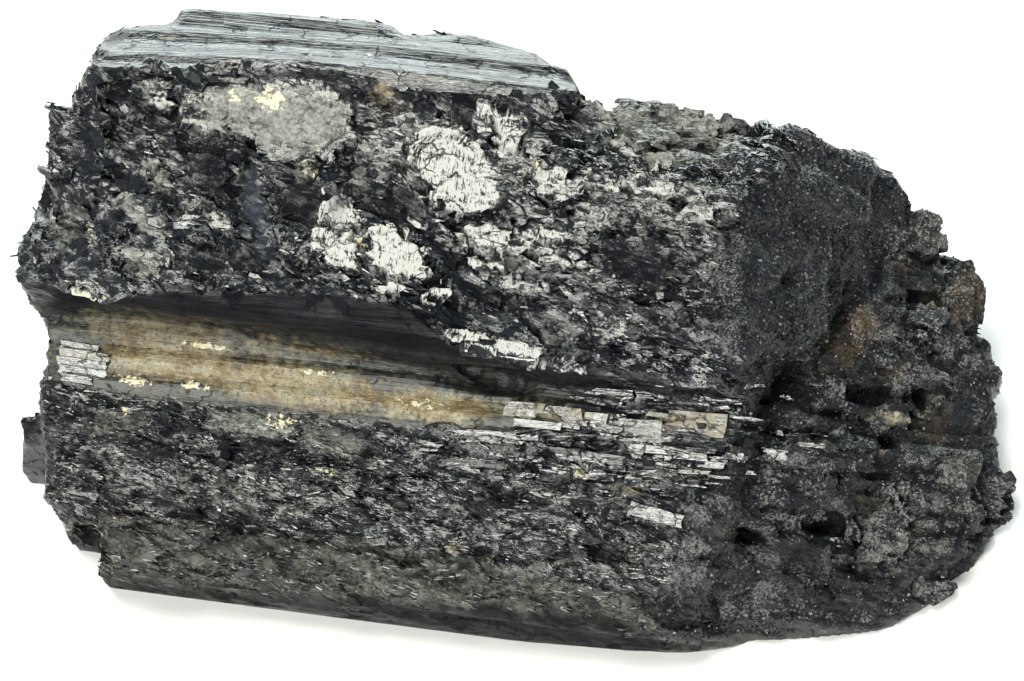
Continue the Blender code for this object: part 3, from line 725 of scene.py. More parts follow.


# ---- the specimen: its looks ----------------------------------------------------------------
# Schorl is iron-black with a glass lustre where it is grown or freshly broken. Limonite has
# stained it ochre, clay has settled on it as pale crumbs, and dust and rust dull the rest.
# Shade is painted in as colour: hollows, pits, furrows, the groove and the undercut are darkened, and facets
# turned from the lamp are painted a dark bluish grey.
OCHRE = [
    (-38, -2.4, 14, 2.8, -6, 0.88), (-24, -5, 14, 3, -7, 0.95), (-9, -7.2, 9, 2.2, -6, 0.95),
    (2, -7.6, 6, 1.5, -4, 0.75), (9, -8.4, 5, 1.1, -4, 0.6), (-45, 2, 5, 1.6, -10, 0.6),
    (-39, 0.8, 12, 2, -7, 0.8), (-25, -0.9, 14, 1.7, -7, 0.6), (-14, 27.4, 2, 1.4, 10, 0.75),
    (-15.4, 30, 1, 1, 10, 0.7), (19.4, -8.8, 4.2, 1.2, -4, 0.8), (13.4, -9.6, 2.8, 1.2, 0, 0.6),
    (12.6, -16.4, 2.2, 1, -10, 0.75), (-43.8, -19.4, 2.6, 0.9, 0, 0.5), (-35, -19.8, 1.2, 0.8, 0, 0.5),
    (-6.2, -22.8, 1.6, 1.2, 0, 0.5), (41.4, -8.5, 3.4, 1, -4, 0.8), (40.2, -12.4, 2, 0.5, 20, 0.45),
    (-37, 2.6, 12, 1.2, -7, 0.35), (-23, 2.2, 10, 0.8, -7, 0.5), (-2, -24.2, 3, 1.4, -10, 0.4),
    (43.4, -19, 2.6, 0.5, -40, 0.45), (44.6, -27, 3, 0.5, -10, 0.45), (34, -11.6, 2.4, 0.6, 0, 0.4),
]
RUST = [
    (37.2, 0.1, 6.2, 3.2, 42, 0.9), (43.2, 8.6, 1.8, 1.6, 0, 0.8), (42, -3.4, 3, 1.4, 20, 0.7),
    (49.8, 4.8, 2, 4.4, 0, 0.8), (46, 13, 5, 4, -40, 0.5), (47, -10, 3, 6, 10, 0.5),
    (12.4, -16.6, 3, 1.4, -8, 0.6), (-13.4, 26, 3.6, 1.6, -8, 0.6), (26.6, 1, 1.6, 4, -20, 0.5),
]
CREAM = [
    (-33.6, -0.6, 3.2, 0.5, -6, 0.9), (-41.6, -4.4, 2.8, 0.8, -10, 0.7), (-34.8, -5, 2.8, 0.7, -6, 0.7),
    (-26.4, 26.4, 2, 1.7, -20, 0.8), (-30.4, 27, 1, 1.4, 20, 0.7), (-22.6, 19.2, 1.1, 1, 0, 0.6),
    (-46.4, 12, 0.7, 1.5, 10, 0.65), (-46.2, 5.4, 3, 0.7, -10, 0.6), (7.8, -14.4, 2.2, 0.9, -10, 0.7),
    (-25.4, -9, 2.4, 1.2, 0, 0.62), (-31, 7.6, 1.2, 0.6, 0, 0.5), (8.4, 26.6, 1.6, 1, 0, 0.6),
    (11, 16.4, 1.2, 0.8, 0, 0.6), (-42.6, -8, 0.8, 1.2, 0, 0.6), (-1, -14.4, 1, 0.9, 0, 0.6),
    (-20, -14.6, 1.4, 1, 0, 0.6), (3, 18.8, 0.7, 0.7, 0, 0.6), (-17, 11.4, 1.2, 0.8, 0, 0.55),
    (-16, 31.4, 0.7, 0.7, 0, 0.6), (-10, -7, 4, 0.8, -6, 0.6), (-22, -3.4, 5, 0.6, -6, 0.55),
    (2.6, -7.8, 4.6, 1, -4, 0.62), (7.8, -8.6, 3, 0.8, -4, 0.66),
]
# Facets turned aside from the lamp, painted a dark bluish grey as shade: place on the map, half length, half
# width, turn and strength.
BLUISH_SHADE = [
    (-28.2, 14.0, 1.5, 7.4, 3, 0.9), (-19.4, 16.0, 1.2, 4.0, 6, 0.6), (-24.0, 23.4, 8.0, 3.6, 10, 0.35),
]
DUST = [
    (-40.7, 13.6, 3.5, 1.4, -40, 0.8), (-39.2, 18.5, 4, 1, -48, 0.7), (-41.1, 9.1, 3.2, 2.2, -30, 0.65),
    (-30, 25.4, 6.2, 3.2, -4, 0.9), (-23.6, 24.2, 6, 4.4, 0, 0.95), (-16.1, 17.9, 2.6, 1.8, 0, 0.6),
    (-49.3, 12.2, 2.6, 4, 0, 0.6), (-28.8, -9.3, 6, 1.8, -5, 0.9), (-20, -10.9, 4.5, 2, -8, 0.9),
    (-44.2, -9.3, 4, 1.5, -6, 0.7), (42.7, -24.1, 7, 4, 0, 0.55), (-30, -17, 14, 3, -8, 0.5),
    (17, 23, 12, 4.5, -12, 0.75), (19, 13, 9, 8, -10, 0.45), (-8, -26, 26, 4, -8, 0.5),
    (10, -24, 12, 4, -10, 0.45), (46, 14, 4, 6, 0, 0.5),
]


def note_stains(mesh, at):
    """Keeps each point's stain, dust, painted bluish shade and gloss."""
    p, s, t, face, shown = at.p, at.s, at.t, at.face, at.shown
    patchy = ramp(drift(p / 8.0, 72) + 0.5 * drift(p / 2.6, 73), 0.55, 1.0) * (1.0 - shown)
    bare_patch = spot(s, t, -47.2, -2.2, 3.0, 2.6, -6.0)
    ochre = painted(s, t, OCHRE) * (1.0 - 0.8 * face["groove"]) * (1.0 - bare_patch)
    note(mesh, "ochre", ochre * shown + 0.8 * patchy)
    note(mesh, "cream", painted(s, t, CREAM) * shown)
    note(mesh, "smoke", painted(s, t, BLUISH_SHADE) * shown)
    dusty = np.maximum(painted(s, t, DUST) * shown, 0.6 * (1.0 - shown) * ramp(drift(p / 10.0, 74), 0.1, 0.7))
    dusty = np.maximum(dusty, 0.22 * face["tip"] * ramp(drift(p / 3.2, 75), 0.0, 0.6) * ramp(t, -24.0, -12.0))
    note(mesh, "dust", np.maximum(dusty, weighed(face, shelf=0.3, tip=0.08, bark=0.15)))
    note(mesh, "rust", painted(s, t, RUST) * shown + 0.7 * patchy)
    note(mesh, "dull", weighed(
        face, crown=0.16, upper=0.24, groove=0.30, stain=0.42, laths=0.20, bark=0.30, shelf=0.55,
        undercut=0.42, end=0.55, tip=0.42, left=0.28, rear=0.24))
    browned = 0.08 + 0.7 * ramp(drift(p / 5.0, 76), 0.1, 0.7)
    note(mesh, "brown", weighed(
        face, shelf=0.8, tip=browned, left=0.15, stain=0.6, bark=0.1, undercut=0.3))
    striated = 1.0 - bare_patch
    # Reflections dimmed: matte end, tip, shelf and stain, and painted shade in the groove and on the
    # undercut.
    note(mesh, "matte", weighed(
        face, end=0.5, tip=0.4, shelf=0.35, undercut=0.85, groove=0.75, stain=0.4 * striated))
    note(mesh, "grown", weighed(face, crown=1, groove=1, stain=striated, rear=0.7, undercut=0.3))


IRON_BLACK = (0.0045, 0.0058, 0.0085, 1.0)
WORN_BLACK = (0.012, 0.014, 0.018, 1.0)
# Painted shade for hollows, pits, the groove and the undercut.
HOLLOW_SHADE_BLACK = (0.004, 0.004, 0.005, 1.0)
BROWN_FILM = (0.060, 0.054, 0.040, 1.0)
DARK_RUST = (0.022, 0.016, 0.011, 1.0)
BRIGHT_RUST = (0.060, 0.037, 0.018, 1.0)
GREY_DUST = (0.075, 0.078, 0.076, 1.0)
PALE_DUST = (0.23, 0.23, 0.20, 1.0)
# Painted bluish shade for facets turned from the lamp.
BLUISH_SHADE_TINT = (0.020, 0.027, 0.041, 1.0)
DEEP_OCHRE = (0.135, 0.091, 0.041, 1.0)
LIGHT_OCHRE = (0.25, 0.198, 0.106, 1.0)
GREY_OCHRE = (0.20, 0.190, 0.145, 1.0)
PALE_GRAIN = (0.38, 0.34, 0.22, 1.0)
SAND_GRAIN = (0.40, 0.35, 0.22, 1.0)
DARK_GRAIN = (0.045, 0.040, 0.030, 1.0)
DAMP_CLAY = (0.36, 0.31, 0.19, 1.0)
DRY_CLAY = (0.74, 0.69, 0.50, 1.0)
FLOW_FALL = 0.28


class Nodes:
    """Builds a tree of nodes: each call adds one, sets its plain values and links the rest."""

    def __init__(self, tree):
        self.tree = tree

    def add(self, kind, result=0, settings=None, **inputs):
        """One node. An input is named by its label, or by its number after an underscore."""
        node = self.tree.nodes.new(kind)
        for key, value in (settings or {}).items():
            setattr(node, key, value)
        for key, value in inputs.items():
            socket = int(key[1:]) if key[1:].isdigit() else key.replace("_", " ")
            self.put(node.inputs[socket], value)
        return node.outputs[result]

    def put(self, socket, value):
        """Links the value to the socket, or sets the socket to it where it is a plain one."""
        if isinstance(value, bpy.types.NodeSocket):
            self.tree.links.new(value, socket)
        else:
            socket.default_value = value

    def kept(self, name, result=2):
        """What the mesh keeps under this name: a value, or a vector where result is 1."""
        return self.add("ShaderNodeAttribute", result, {"attribute_name": name})

    def math(self, operation, first, second=0.0):
        return self.add("ShaderNodeMath", 0, {"operation": operation}, _0=first, _1=second)

    def vector(self, operation, first, second):
        return self.add("ShaderNodeVectorMath", 0, {"operation": operation}, _0=first, _1=second)

    def scaled(self, first, factor):
        return self.add("ShaderNodeVectorMath", 0, {"operation": "SCALE"}, _0=first, Scale=factor)

    def mix(self, share, first, second):
        return self.add("ShaderNodeMix", 2, {"data_type": "RGBA"}, _0=share, _6=first, _7=second)

    def blend(self, share, first, second):
        return self.add("ShaderNodeMix", 0, {"data_type": "FLOAT"}, _0=share, _2=first, _3=second)

    def turn(self, share, first, second):
        return self.add("ShaderNodeMix", 1, {"data_type": "VECTOR"}, _0=share, _4=first, _5=second)

    def place(self, *scale, fall=0.0):
        """The place in the specimen, squeezed by the scale, with its length turned down by fall."""
        where = self.add("ShaderNodeTexCoord", 3)
        if fall:
            where = self.add(
                "ShaderNodeVectorRotate", 0, {"rotation_type": "Y_AXIS"}, Vector=where, Angle=-fall)
        return self.add("ShaderNodeMapping", 0, None, Vector=where, Scale=scale)

    def noise(self, where, scale, detail=2.0, roughness=0.5, result=0):
        return self.add(
            "ShaderNodeTexNoise", result, None, Vector=where, Scale=scale, Detail=detail, Roughness=roughness)

    def wandering(self, where, texture, reach):
        """The place moved about by a coloured texture, so that lines drawn on it bend."""
        return self.add(
            "ShaderNodeVectorMath", 0, {"operation": "MULTIPLY_ADD"},
            _0=texture, _1=(reach, reach, reach), _2=where)

    def step(self, value, low, high):
        """0 below low, 1 above high, smooth between. It falls where high is below low."""
        return self.add(
            "ShaderNodeMapRange", 0, {"interpolation_type": "SMOOTHSTEP"},
            Value=value, From_Min=low, From_Max=high, To_Min=0.0, To_Max=1.0)

    def spread(self, amount, texture, reach):
        """The amount with the texture's ups and downs added, so that its edges break up."""
        swing = self.math("MULTIPLY", self.math("SUBTRACT", texture, 0.5), reach)
        return self.math("ADD", amount, swing)

    def lessened(self, value, by, share):
        """The value, with this share of it taken away where by is 1."""
        return self.math("MULTIPLY", value, self.math("SUBTRACT", 1.0, self.math("MULTIPLY", by, share)))


def limonite(nodes, streak, blotch, speck, sandy):
    """The ochre stain: deep and light patches, greyer streaks, and pale, sandy and dark grains."""
    golden = nodes.mix(nodes.step(blotch, 0.38, 0.6), DEEP_OCHRE, LIGHT_OCHRE)
    greyer = nodes.mix(nodes.step(nodes.spread(streak, blotch, 1.2), 0.46, 0.74), golden, GREY_OCHRE)
    grained = nodes.mix(nodes.step(speck, 0.56, 0.76), greyer, PALE_GRAIN)
    sanded = nodes.mix(nodes.step(sandy, 0.60, 0.80), grained, SAND_GRAIN)
    return nodes.mix(nodes.step(nodes.spread(speck, sandy, 0.5), 0.45, 0.32), sanded, DARK_GRAIN)


def schorl_colour(nodes, plain, ragged, streak):
    """Black, then what has settled on it, layer by layer, with a painted bluish shade among the layers and
    painted shade in the hollows last. Also how far it is coated and so dull.
    """
    cloud = nodes.noise(plain, 220.0, 3.0)
    blotch = nodes.noise(plain, 420.0, 4.0, 0.6)
    crumbled = nodes.noise(plain, 1500.0, 4.0, 0.7)
    speck = nodes.noise(plain, 2400.0, 3.0, 0.7)
    sandy = nodes.noise(plain, 4600.0, 2.0, 0.6)
    black = nodes.mix(nodes.step(cloud, 0.35, 0.7), IRON_BLACK, WORN_BLACK)
    film = nodes.math("MULTIPLY", nodes.kept("brown"), nodes.step(ragged, 0.35, 0.7))
    colour = nodes.mix(film, black, BROWN_FILM)

    rust = nodes.mix(nodes.step(blotch, 0.4, 0.62), DARK_RUST, BRIGHT_RUST)
    dust = nodes.mix(nodes.step(speck, 0.4, 0.62), GREY_DUST, PALE_DUST)
    dusty = nodes.math("ADD", nodes.kept("dust"), nodes.math("MULTIPLY", nodes.kept("worn"), 0.22))
    ochre = limonite(nodes, streak, blotch, speck, sandy)
    streaked = nodes.spread(nodes.kept("ochre"), streak, 0.9)
    clay = nodes.mix(speck, DAMP_CLAY, DRY_CLAY)
    seen = {}
    for layer, amount, texture, reach, low, high, most, tint in (
        ("rust", nodes.kept("rust"), ragged, 1.2, 0.35, 0.95, 0.80, rust),
        ("dust", dusty, ragged, 1.6, 0.42, 1.00, 0.75, dust),
        # Painted bluish shade on facets turned from the lamp.
        ("smoke", nodes.kept("smoke"), ragged, 0.8, 0.30, 0.90, 0.70, BLUISH_SHADE_TINT),
        ("ochre", streaked, ragged, 1.5, 0.30, 0.95, 0.92, ochre),
        ("clay", nodes.kept("cream"), crumbled, 2.4, 0.55, 0.75, 1.00, clay),
    ):
        broken_up = nodes.spread(amount, texture, reach)
        seen[layer] = nodes.math("MULTIPLY", nodes.step(broken_up, low, high), most)
        colour = nodes.mix(seen[layer], colour, tint)
    coated = nodes.math("MAXIMUM", nodes.math("MAXIMUM", seen["ochre"], seen["clay"]), seen["dust"])
    # Painted shade: hollows, pits, the groove and the undercut are mixed towards black.
    depth = nodes.math("MULTIPLY", nodes.kept("hollow_shade"), 0.55)
    return nodes.mix(depth, colour, HOLLOW_SHADE_BLACK), coated


def hairline_cracks(nodes, plain):
    """1 along the fine cracks that net the surface in places, 0 elsewhere."""
    where = nodes.wandering(nodes.place(0.6, 1.0, 1.0), nodes.noise(plain, 500.0, 3.0, 0.6, 1), 0.0022)
    gap = nodes.add("ShaderNodeTexVoronoi", 0, {"feature": "DISTANCE_TO_EDGE"}, Vector=where, Scale=420.0)
    present = nodes.step(nodes.noise(plain, 330.0, 2.0), 0.46, 0.56)
    return nodes.math("MULTIPLY", nodes.step(gap, 0.055, 0.015), present)


def schorl_facing(nodes, plain):
    """The way the surface faces: the chips as carved, with ever finer chips, wrinkles and striae."""
    grown = nodes.kept("grown")
    sheen = nodes.kept("sheen")
    broken = nodes.math("SUBTRACT", 1.0, nodes.math("MULTIPLY", grown, 0.9))
    drawn_out = nodes.place(0.32, 1.0, 1.0, fall=FLOW_FALL)
    cells = nodes.wandering(drawn_out, nodes.noise(plain, 1500.0, 2.0, 0.5, 1), 0.00035)
    carved = nodes.math("MULTIPLY", broken, 0.88)
    facing = nodes.turn(carved, nodes.add("ShaderNodeNewGeometry", 1), nodes.kept("facing", 1))
    calm = nodes.lessened(broken, nodes.kept("hollow_shade"), 0.6)
    grit = nodes.kept("grit")
    for where, scale, lean, lean_bright, lean_gritty in (
        (cells, 1150.0, 0.38, 0.08, 0.12), (cells, 3000.0, 0.32, 0.07, 0.20), (plain, 4800.0, 0.0, 0.0, 0.70),
    ):
        facet = nodes.add("ShaderNodeTexVoronoi", 1, {"feature": "F1"}, Vector=where, Scale=scale)
        swing = nodes.blend(grit, nodes.blend(sheen, lean, lean_bright), lean_gritty)
        own_way = nodes.vector("SUBTRACT", facet, (0.5, 0.5, 0.5))
        facing = nodes.vector("ADD", facing, nodes.scaled(own_way, nodes.math("MULTIPLY", calm, swing)))
    facing = nodes.vector("NORMALIZE", facing, (0.0, 0.0, 0.0))
    wavy = nodes.noise(nodes.place(0.3, 1.0, 1.0, fall=FLOW_FALL), 2800.0, 3.0, 0.7)
    wrinkled = nodes.noise(nodes.place(1.0, 0.35, 0.35), 2200.0, 2.0, 0.5)
    combed = nodes.noise(nodes.place(0.015, 1.0, 1.0), 3600.0, 3.0, 0.65)
    relief = nodes.blend(grown, nodes.blend(sheen, wavy, wrinkled), combed)
    strength = nodes.blend(sheen, 0.6, 0.42)
    return nodes.add(
        "ShaderNodeBump", 0, None, Strength=strength, Distance=0.00018, Height=relief, Normal=facing)


def schorl_finish():
    """Iron-black glass-lustred mineral, with limonite, clay and dust where they settled, and painted shade in
    its hollows, creases and cracks.
    """
    material = bpy.data.materials.new("schorl")
    material.use_nodes = True
    nodes = Nodes(material.node_tree)
    shader = material.node_tree.nodes["Principled BSDF"]
    plain = nodes.place(1.0, 1.0, 1.0)
    ragged = nodes.noise(plain, 900.0, 5.0, 0.65)
    streak = nodes.noise(nodes.place(0.06, 1.0, 1.0), 1500.0, 3.0, 0.6)
    colour, coated = schorl_colour(nodes, plain, ragged, streak)
    nodes.put(shader.inputs["Base Color"], colour)
    dull = nodes.blend(nodes.kept("sheen"), nodes.spread(nodes.kept("dull"), ragged, 0.3), 0.17)
    dull = nodes.blend(coated, dull, 0.55)
    dull = nodes.blend(nodes.math("MULTIPLY", nodes.kept("smoke"), 0.8), dull, 0.5)
    dull = nodes.blend(nodes.math("MULTIPLY", nodes.kept("grit"), 0.8), dull, 0.33)
    nodes.put(shader.inputs["Roughness"], nodes.math("MAXIMUM", dull, 0.10))
    cracked = hairline_cracks(nodes, plain)
    # The reflection is dimmed as painted shade in the hollows, the groove and the undercut, and on matte
    # faces.
    level = nodes.lessened(nodes.lessened(0.5, nodes.kept("hollow_shade"), 0.85), nodes.kept("matte"), 0.6)
    # Painted shade along the hairline cracks: their reflection is dimmed.
    level = nodes.lessened(level, cracked, 0.85)
    nodes.put(shader.inputs["Specular IOR Level"], level)
    shader.inputs["IOR"].default_value = 1.65
    nodes.put(shader.inputs["Normal"], schorl_facing(nodes, plain))
    return material


broad = carving_block(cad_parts["tourmaline_crystal"], BROAD_SOFTENING)
outward = read(broad.data, "normal")
bpy.data.objects.remove(broad)
skin = carving_block(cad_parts["tourmaline_crystal"], SOFTENING)
carve(skin, outward)
thinned(skin, SKIN_TRIANGLES)
schorl = schorl_finish()
skin.data.materials.clear()
skin.data.materials.append(schorl)
skin.data.shade_flat()
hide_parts("tourmaline_crystal")
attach(skin, "root")


# ---- the specimen: its splinters ------------------------------------------------------------
# Broken schorl parts into thin flakes, crumbs and square-ended laths, which stay standing in the
# broken faces. Each is a small closed solid of its own, let into the skin.
GRAIN_WAY = (1.0, 0.0, -FLOW_FALL)
STEEP_WAY = (1.0, 0.0, -STEEP_FLOW)

# Each kind lies where the skin says it is flaky, crumbly or shattered. Sizes are half lengths
# along the way, across it and through the splinter, in metres, and Per Area is per square metre.
STREWN = {
    "tourmaline_flakes": dict(
        Where="flaky", Per_Area=3.6e6, Corners=5, Way=GRAIN_WAY, Tilt=(0.38, 0.10, 0.30),
        Smallest=(0.00030, 0.00005, 0.00005), Largest=(0.00130, 0.00018, 0.00009),
        Nudge=(0.00005, 0.00002, 0.00002), Grown=0.3, Gloss=0.8, Seed=3),
    "tourmaline_crumbs": dict(
        Where="crumbly", Per_Area=3.2e6, Corners=4, Way=GRAIN_WAY, Tilt=(0.6, 0.6, 3.0),
        Smallest=(0.00012, 0.00010, 0.00008), Largest=(0.00030, 0.00024, 0.00020),
        Nudge=(0.00003, 0.00003, 0.00003), Grown=0.3, Gloss=0.35, Seed=8),
    "tourmaline_shards": dict(
        Where="shattered", Per_Area=0.22e6, Corners=5, Way=STEEP_WAY, Tilt=(0.30, 0.22, 0.5),
        Smallest=(0.00030, 0.00018, 0.00010), Largest=(0.00210, 0.00085, 0.00026),
        Nudge=(0.00012, 0.00008, 0.00008), Grown=0.2, Gloss=0.9, Seed=13),
}


def splinter_tree(name, inputs):
    """An empty geometry tree: its node builder, its tree and its input sockets by name."""
    tree = bpy.data.node_groups.new(name, "GeometryNodeTree")
    for label, kind in inputs.items():
        tree.interface.new_socket(label, in_out="INPUT", socket_type="NodeSocket" + kind)
    tree.interface.new_socket("Geometry", in_out="OUTPUT", socket_type="NodeSocketGeometry")
    return Nodes(tree), tree, tree.nodes.new("NodeGroupInput").outputs


def along_grain(nodes, facing, way):
    """The turn that sets a splinter's flat side to its facing and its length to the way."""
    upright = nodes.add("FunctionNodeAlignRotationToVector", 0, {"axis": "Z"}, Vector=facing)
    return nodes.add(
        "FunctionNodeAlignRotationToVector", 0, {"axis": "X", "pivot_axis": "Z"},
        Rotation=upright, Vector=way)


def random_vector(nodes, low, high, seed):
    return nodes.add("FunctionNodeRandomValue", 0, {"data_type": "FLOAT_VECTOR"}, _0=low, _1=high, Seed=seed)


def random_swing(nodes, given, reach):
    """A random vector up to the named reach either way on each axis."""
    swing = random_vector(nodes, (-1.0, -1.0, -1.0), (1.0, 1.0, 1.0), given["Seed"])
    return nodes.vector("MULTIPLY", swing, given[reach])


def stored(nodes, geometry, name, kind, domain, value):
    """The geometry with a named value kept on it."""
    return nodes.add(
        "GeometryNodeStoreNamedAttribute", 0, {"data_type": kind, "domain": domain},
        Geometry=geometry, Name=name, Value=value)


def set_down(nodes, tree, given, points, shape, turn, size):
    """Sets a shape on every point, makes it real, breaks its corners and notes its looks."""
    placed = nodes.add(
        "GeometryNodeInstanceOnPoints", 0, None, Points=points, Instance=shape, Rotation=turn, Scale=size)
    gloss = nodes.add(
        "FunctionNodeRandomValue", 1, {"data_type": "FLOAT"}, _2=0.0, _3=given["Gloss"], Seed=given["Seed"])
    placed = stored(nodes, placed, "sheen", "FLOAT", "INSTANCE", gloss)
    real = nodes.add("GeometryNodeRealizeInstances", 0, None, Geometry=placed)
    real = nodes.add(
        "GeometryNodeSetPosition", 0, None, Geometry=real, Offset=random_swing(nodes, given, "Nudge"))
    real = stored(nodes, real, "facing", "FLOAT_VECTOR", "FACE", nodes.add("GeometryNodeInputNormal"))
    for look, value in (("hollow_shade", 0.0), ("matte", 0.0), ("grit", 0.0), ("grown", given["Grown"])):
        real = stored(nodes, real, look, "FLOAT", "POINT", value)
    done = nodes.add("GeometryNodeSetMaterial", 0, None, Geometry=real, Material=given["Finish"])
    nodes.put(tree.nodes.new("NodeGroupOutput").inputs[0], done)


def told(nodes, name, kind="FLOAT_VECTOR"):
    """What each point of the geometry says under this name."""
    return nodes.add("GeometryNodeInputNamedAttribute", 0, {"data_type": kind}, Name=name)


def strewing_tree():
    """Strews low, many-cornered solids over a mesh, as densely as its attribute says."""
    nodes, tree, given = splinter_tree("strewn", {
        "Geometry": "Geometry", "Where": "String", "Per Area": "Float", "Corners": "Int",
        "Smallest": "Vector", "Largest": "Vector", "Way": "Vector", "Tilt": "Vector", "Nudge": "Vector",
        "Grown": "Float", "Gloss": "Float", "Seed": "Int",
        "Finish": "Material"})
    share = told(nodes, given["Where"], "FLOAT")
    points = nodes.add(
        "GeometryNodeDistributePointsOnFaces", 0, {"distribute_method": "RANDOM"},
        Mesh=given["Geometry"], Density=nodes.math("MULTIPLY", share, given["Per Area"]), Seed=given["Seed"])
    shape = nodes.add(
        "GeometryNodeMeshCone", 0, {"fill_type": "NGON"}, Vertices=given["Corners"], Side_Segments=1,
        Radius_Top=0.7, Radius_Bottom=1.0, Depth=2.0)
    shape = nodes.add("GeometryNodeTransform", 0, None, Geometry=shape, Translation=(0.0, 0.0, -1.1))
    level = along_grain(nodes, told(nodes, "facing"), given["Way"])
    swing = nodes.add("FunctionNodeEulerToRotation", 0, None, Euler=random_swing(nodes, given, "Tilt"))
    turn = nodes.add(
        "FunctionNodeRotateRotation", 0, {"rotation_space": "LOCAL"}, Rotation=level, Rotate_By=swing)
    size = random_vector(nodes, given["Smallest"], given["Largest"], given["Seed"])
    set_down(nodes, tree, given, points, shape, turn, size)
    return tree


def laying_tree():
    """Lays a lath on every point, turned and sized as its point says."""
    nodes, tree, given = splinter_tree("laid", {
        "Geometry": "Geometry", "Nudge": "Vector", "Grown": "Float", "Gloss": "Float",
        "Seed": "Int", "Finish": "Material"})
    shape = nodes.add(
        "GeometryNodeMeshCube", 0, None, Size=(2.0, 2.0, 2.0), Vertices_X=6, Vertices_Y=3, Vertices_Z=2)
    turn = along_grain(nodes, told(nodes, "lean"), told(nodes, "run"))
    set_down(nodes, tree, given, given["Geometry"], shape, turn, told(nodes, "size"))
    return tree


def splinters(name, carrier, tree, **values):
    """The solids that a tree sets on a carrier, as one plain piece inside the solid's box."""
    piece = set_up(name, carrier)
    grow = piece.modifiers.new("splinters", "NODES")
    grow.node_group = tree
    for socket in tree.interface.items_tree:
        label = socket.name.replace(" ", "_")
        if label in values:
            grow[socket.identifier] = values[label]
    settled(piece)
    low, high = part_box("tourmaline_crystal")
    inside = np.clip(read(piece.data, "co"), np.array(low), np.array(high))
    piece.data.vertices.foreach_set("co", inside.ravel())
    piece.data.shade_flat()
    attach(piece, "root")
    return piece


strewn = strewing_tree()
for name, values in STREWN.items():
    splinters(name, skin.data, strewn, Finish=schorl, **values)

# Laths whose place shows: place on the map, half length, half width, half thickness, turn, and
# the lean right and back of the flat side from the way that mirrors the front panel.
LATHS = [
    (-3.6, -10.2, 6.6, 0.35, 0.35, -4, 0, 7), (9.4, -12.9, 3, 0.5, 0.5, -7, 0, 8),
    (9, -14, 3.4, 0.25, 0.4, -7, 0, 5), (13.8, -9.9, 2.6, 1.2, 0.5, -4, 1, 9),
    (20.3, -9.2, 3.2, 1.3, 0.5, -5, 0, 9), (15, -11.9, 1.9, 0.4, 0.4, -4, 0, 0),
    (19.4, -12.7, 2.1, 0.4, 0.5, -6, 2, 6), (18.9, -13.8, 2.5, 0.3, 0.4, -6, 0, 3),
    (22.1, -13.6, 1.4, 0.4, 0.5, -6, -2, 7), (15.9, -19.1, 3, 0.7, 0.4, -14, 0, 0),
    (15.4, -6.2, 1.8, 0.7, 0.4, -4, 0, 10), (10, -5.6, 3.4, 0.3, 0.35, -5, 0, 12),
    (23, -6.6, 2.4, 0.25, 0.35, -8, 0, 12), (11.4, -15, 3, 0.3, 0.35, -7, 0, 1),
    (1.4, -7.6, 2.2, 0.8, 0.3, -5, 0, 8), (5.4, -8.2, 2.4, 0.9, 0.3, -6, 0, 5),
    (8.9, -8.7, 1.6, 0.8, 0.35, -4, 0, 0), (3, -9.2, 2.6, 0.4, 0.3, -5, 0, 0),
    (29.2, -12.5, 1.2, 0.55, 0.3, -6, 0, 0), (-47.5, -0.7, 2.2, 0.45, 0.3, -7, 0, 0),
    (-47, -1.6, 2.8, 0.5, 0.3, -7, 0, 0), (-47.2, -2.5, 2.8, 0.5, 0.3, -7, 0, 0),
    (-47.2, -3.4, 2.6, 0.45, 0.3, -7, 0, 0), (-47.8, -4.2, 1.8, 0.4, 0.3, -7, 0, 0),
]

# Over a crack deeper than this there is no lath. The random laths: from, to and how many.
MOST_CRACKED = 0.45
LATH_FIELDS = ((-10.0, 4.0, 20), (4.0, 26.0, 120), (26.0, 34.0, 12))


def lath_places():
    """The laths told above, and many smaller ones at random between the stain and the bark."""
    rng = np.random.default_rng(17)
    for place in LATHS:
        yield place
    for low, high, count in LATH_FIELDS:
        for _ in range(count):
            s = rng.uniform(low, high)
            top = across(STAIN_EDGE, s) + 4.2 * ramp(s, 2.0, 8.0)
            foot = across(LATH_EDGE, s)
            yield (
                s, rng.uniform(foot, top), rng.uniform(0.4, 2.2), rng.uniform(0.10, 0.34),
                rng.uniform(0.2, 0.4), rng.normal(-6.0, 3.0), rng.normal(0.0, 8.0), rng.normal(14.0, 11.0))


def lath_carrier():
    """A mesh of points on the skin, with each lath's lean, run and size."""
    points, leans, runs, sizes, middles = [], [], [], [], []
    for s, t, length, width, depth, turn, lean_right, lean_back in lath_places():
        aim = LOOKED_AT + s * RIGHT + t * UP - EYE
        struck, where, _, _ = skin.ray_cast(Vector(EYE * MM), Vector(aim).normalized())
        if not struck or crack_depth(np.array([where]) / MM, 1.0)[0] > MOST_CRACKED:
            continue
        lean = FRONT_MIRROR + math.radians(lean_right) * RIGHT + math.radians(lean_back) * UP
        points.append(np.array(where) + 0.1 * MM * depth * BACK)
        leans.append(lean / np.linalg.norm(lean))
        runs.append(math.cos(math.radians(turn)) * RIGHT + math.sin(math.radians(turn)) * UP)
        sizes.append(np.array([length, width, depth]) * MM)
        middles.append((s, t))
    data = bpy.data.meshes.new("lath_places")
    data.from_pydata(points, [], [])
    for name, rows in (("lean", leans), ("run", runs), ("size", sizes)):
        data.attributes.new(name, "FLOAT_VECTOR", "POINT").data.foreach_set("vector", np.ravel(rows))
    s, t = np.array(middles).T
    note(data, "ochre", 0.75 * painted(s, t, OCHRE))
    note(data, "rust", painted(s, t, RUST))
    note(data, "dull", 0.2 + 0.1 * painted(s, t, DUST))
    return data


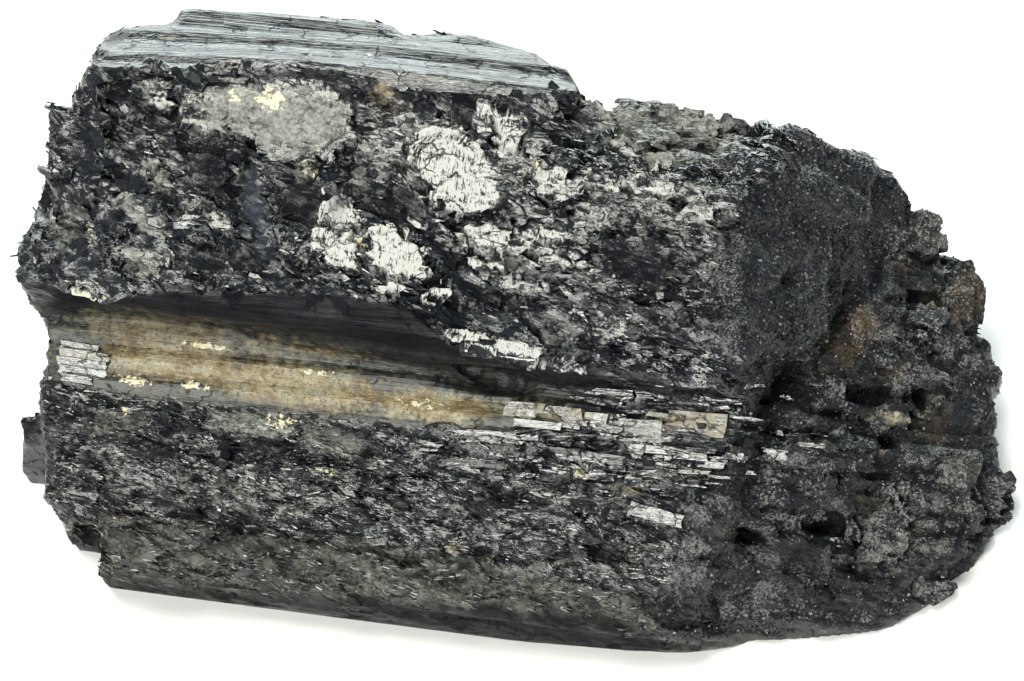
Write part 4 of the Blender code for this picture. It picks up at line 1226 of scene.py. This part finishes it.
splinters(
    "tourmaline_laths", lath_carrier(), laying_tree(), Nudge=(0.00025, 0.00003, 0.00002), Grown=0.6,
    Gloss=1.0, Seed=5, Finish=schorl)


# ---- shelf, light and air -----------------------------------------------------------------
# A pale matt surface, a lamp nearly overhead, a long bright panel low at the back that the
# striated top mirrors, and a weak panel in front.
BACK_PANEL_WAY = (-0.15, 0.95, 0.30)


def plain_surface():
    """A wide sheet of pale paper at the height the specimen stands on."""
    mesh = bmesh.new()
    bmesh.ops.create_grid(mesh, x_segments=1, y_segments=1, size=3.0)
    data = bpy.data.meshes.new("shelf_top")
    mesh.to_mesh(data)
    mesh.free()
    top = set_up("shelf_top", data)
    finish = bpy.data.materials.new("pale_paper")
    finish.use_nodes = True
    shader = finish.node_tree.nodes["Principled BSDF"]
    shader.inputs["Base Color"].default_value = (0.86, 0.86, 0.86, 1.0)
    shader.inputs["Roughness"].default_value = 0.9
    top.data.materials.append(finish)
    return top


def panel(name, way, distance, width, depth, watts, colour):
    """A soft rectangular lamp that faces the specimen."""
    lamp = bpy.data.lights.new(name, "AREA")
    lamp.shape = "RECTANGLE"
    lamp.size = width
    lamp.size_y = depth
    lamp.energy = watts
    lamp.color = colour
    held = set_up(name, lamp)
    way = Vector(way).normalized()
    held.location = Vector(LOOKED_AT) * MM + way * distance
    held.rotation_euler = way.to_track_quat("Z", "Y").to_euler()
    return held


plain_surface()
panel("lamp_overhead", LAMP_WAY, distance=1.0, width=0.5, depth=0.42, watts=10.3, colour=(1.0, 1.0, 0.88))
panel(
    "panel_back", BACK_PANEL_WAY, distance=1.3, width=1.6, depth=0.75, watts=34.0, colour=(0.90, 1.0, 0.98))
panel(
    "panel_front", FRONT_PANEL_WAY, distance=1.4, width=0.8, depth=0.5, watts=25.0, colour=(0.98, 1.0, 0.92))

air = bpy.data.worlds.new("air")
air.use_nodes = True
air.node_tree.nodes["Background"].inputs["Color"].default_value = (0.80, 0.91, 1.0, 1.0)
air.node_tree.nodes["Background"].inputs["Strength"].default_value = 0.18
bpy.context.scene.world = air
bpy.context.scene.view_settings.view_transform = "Standard"
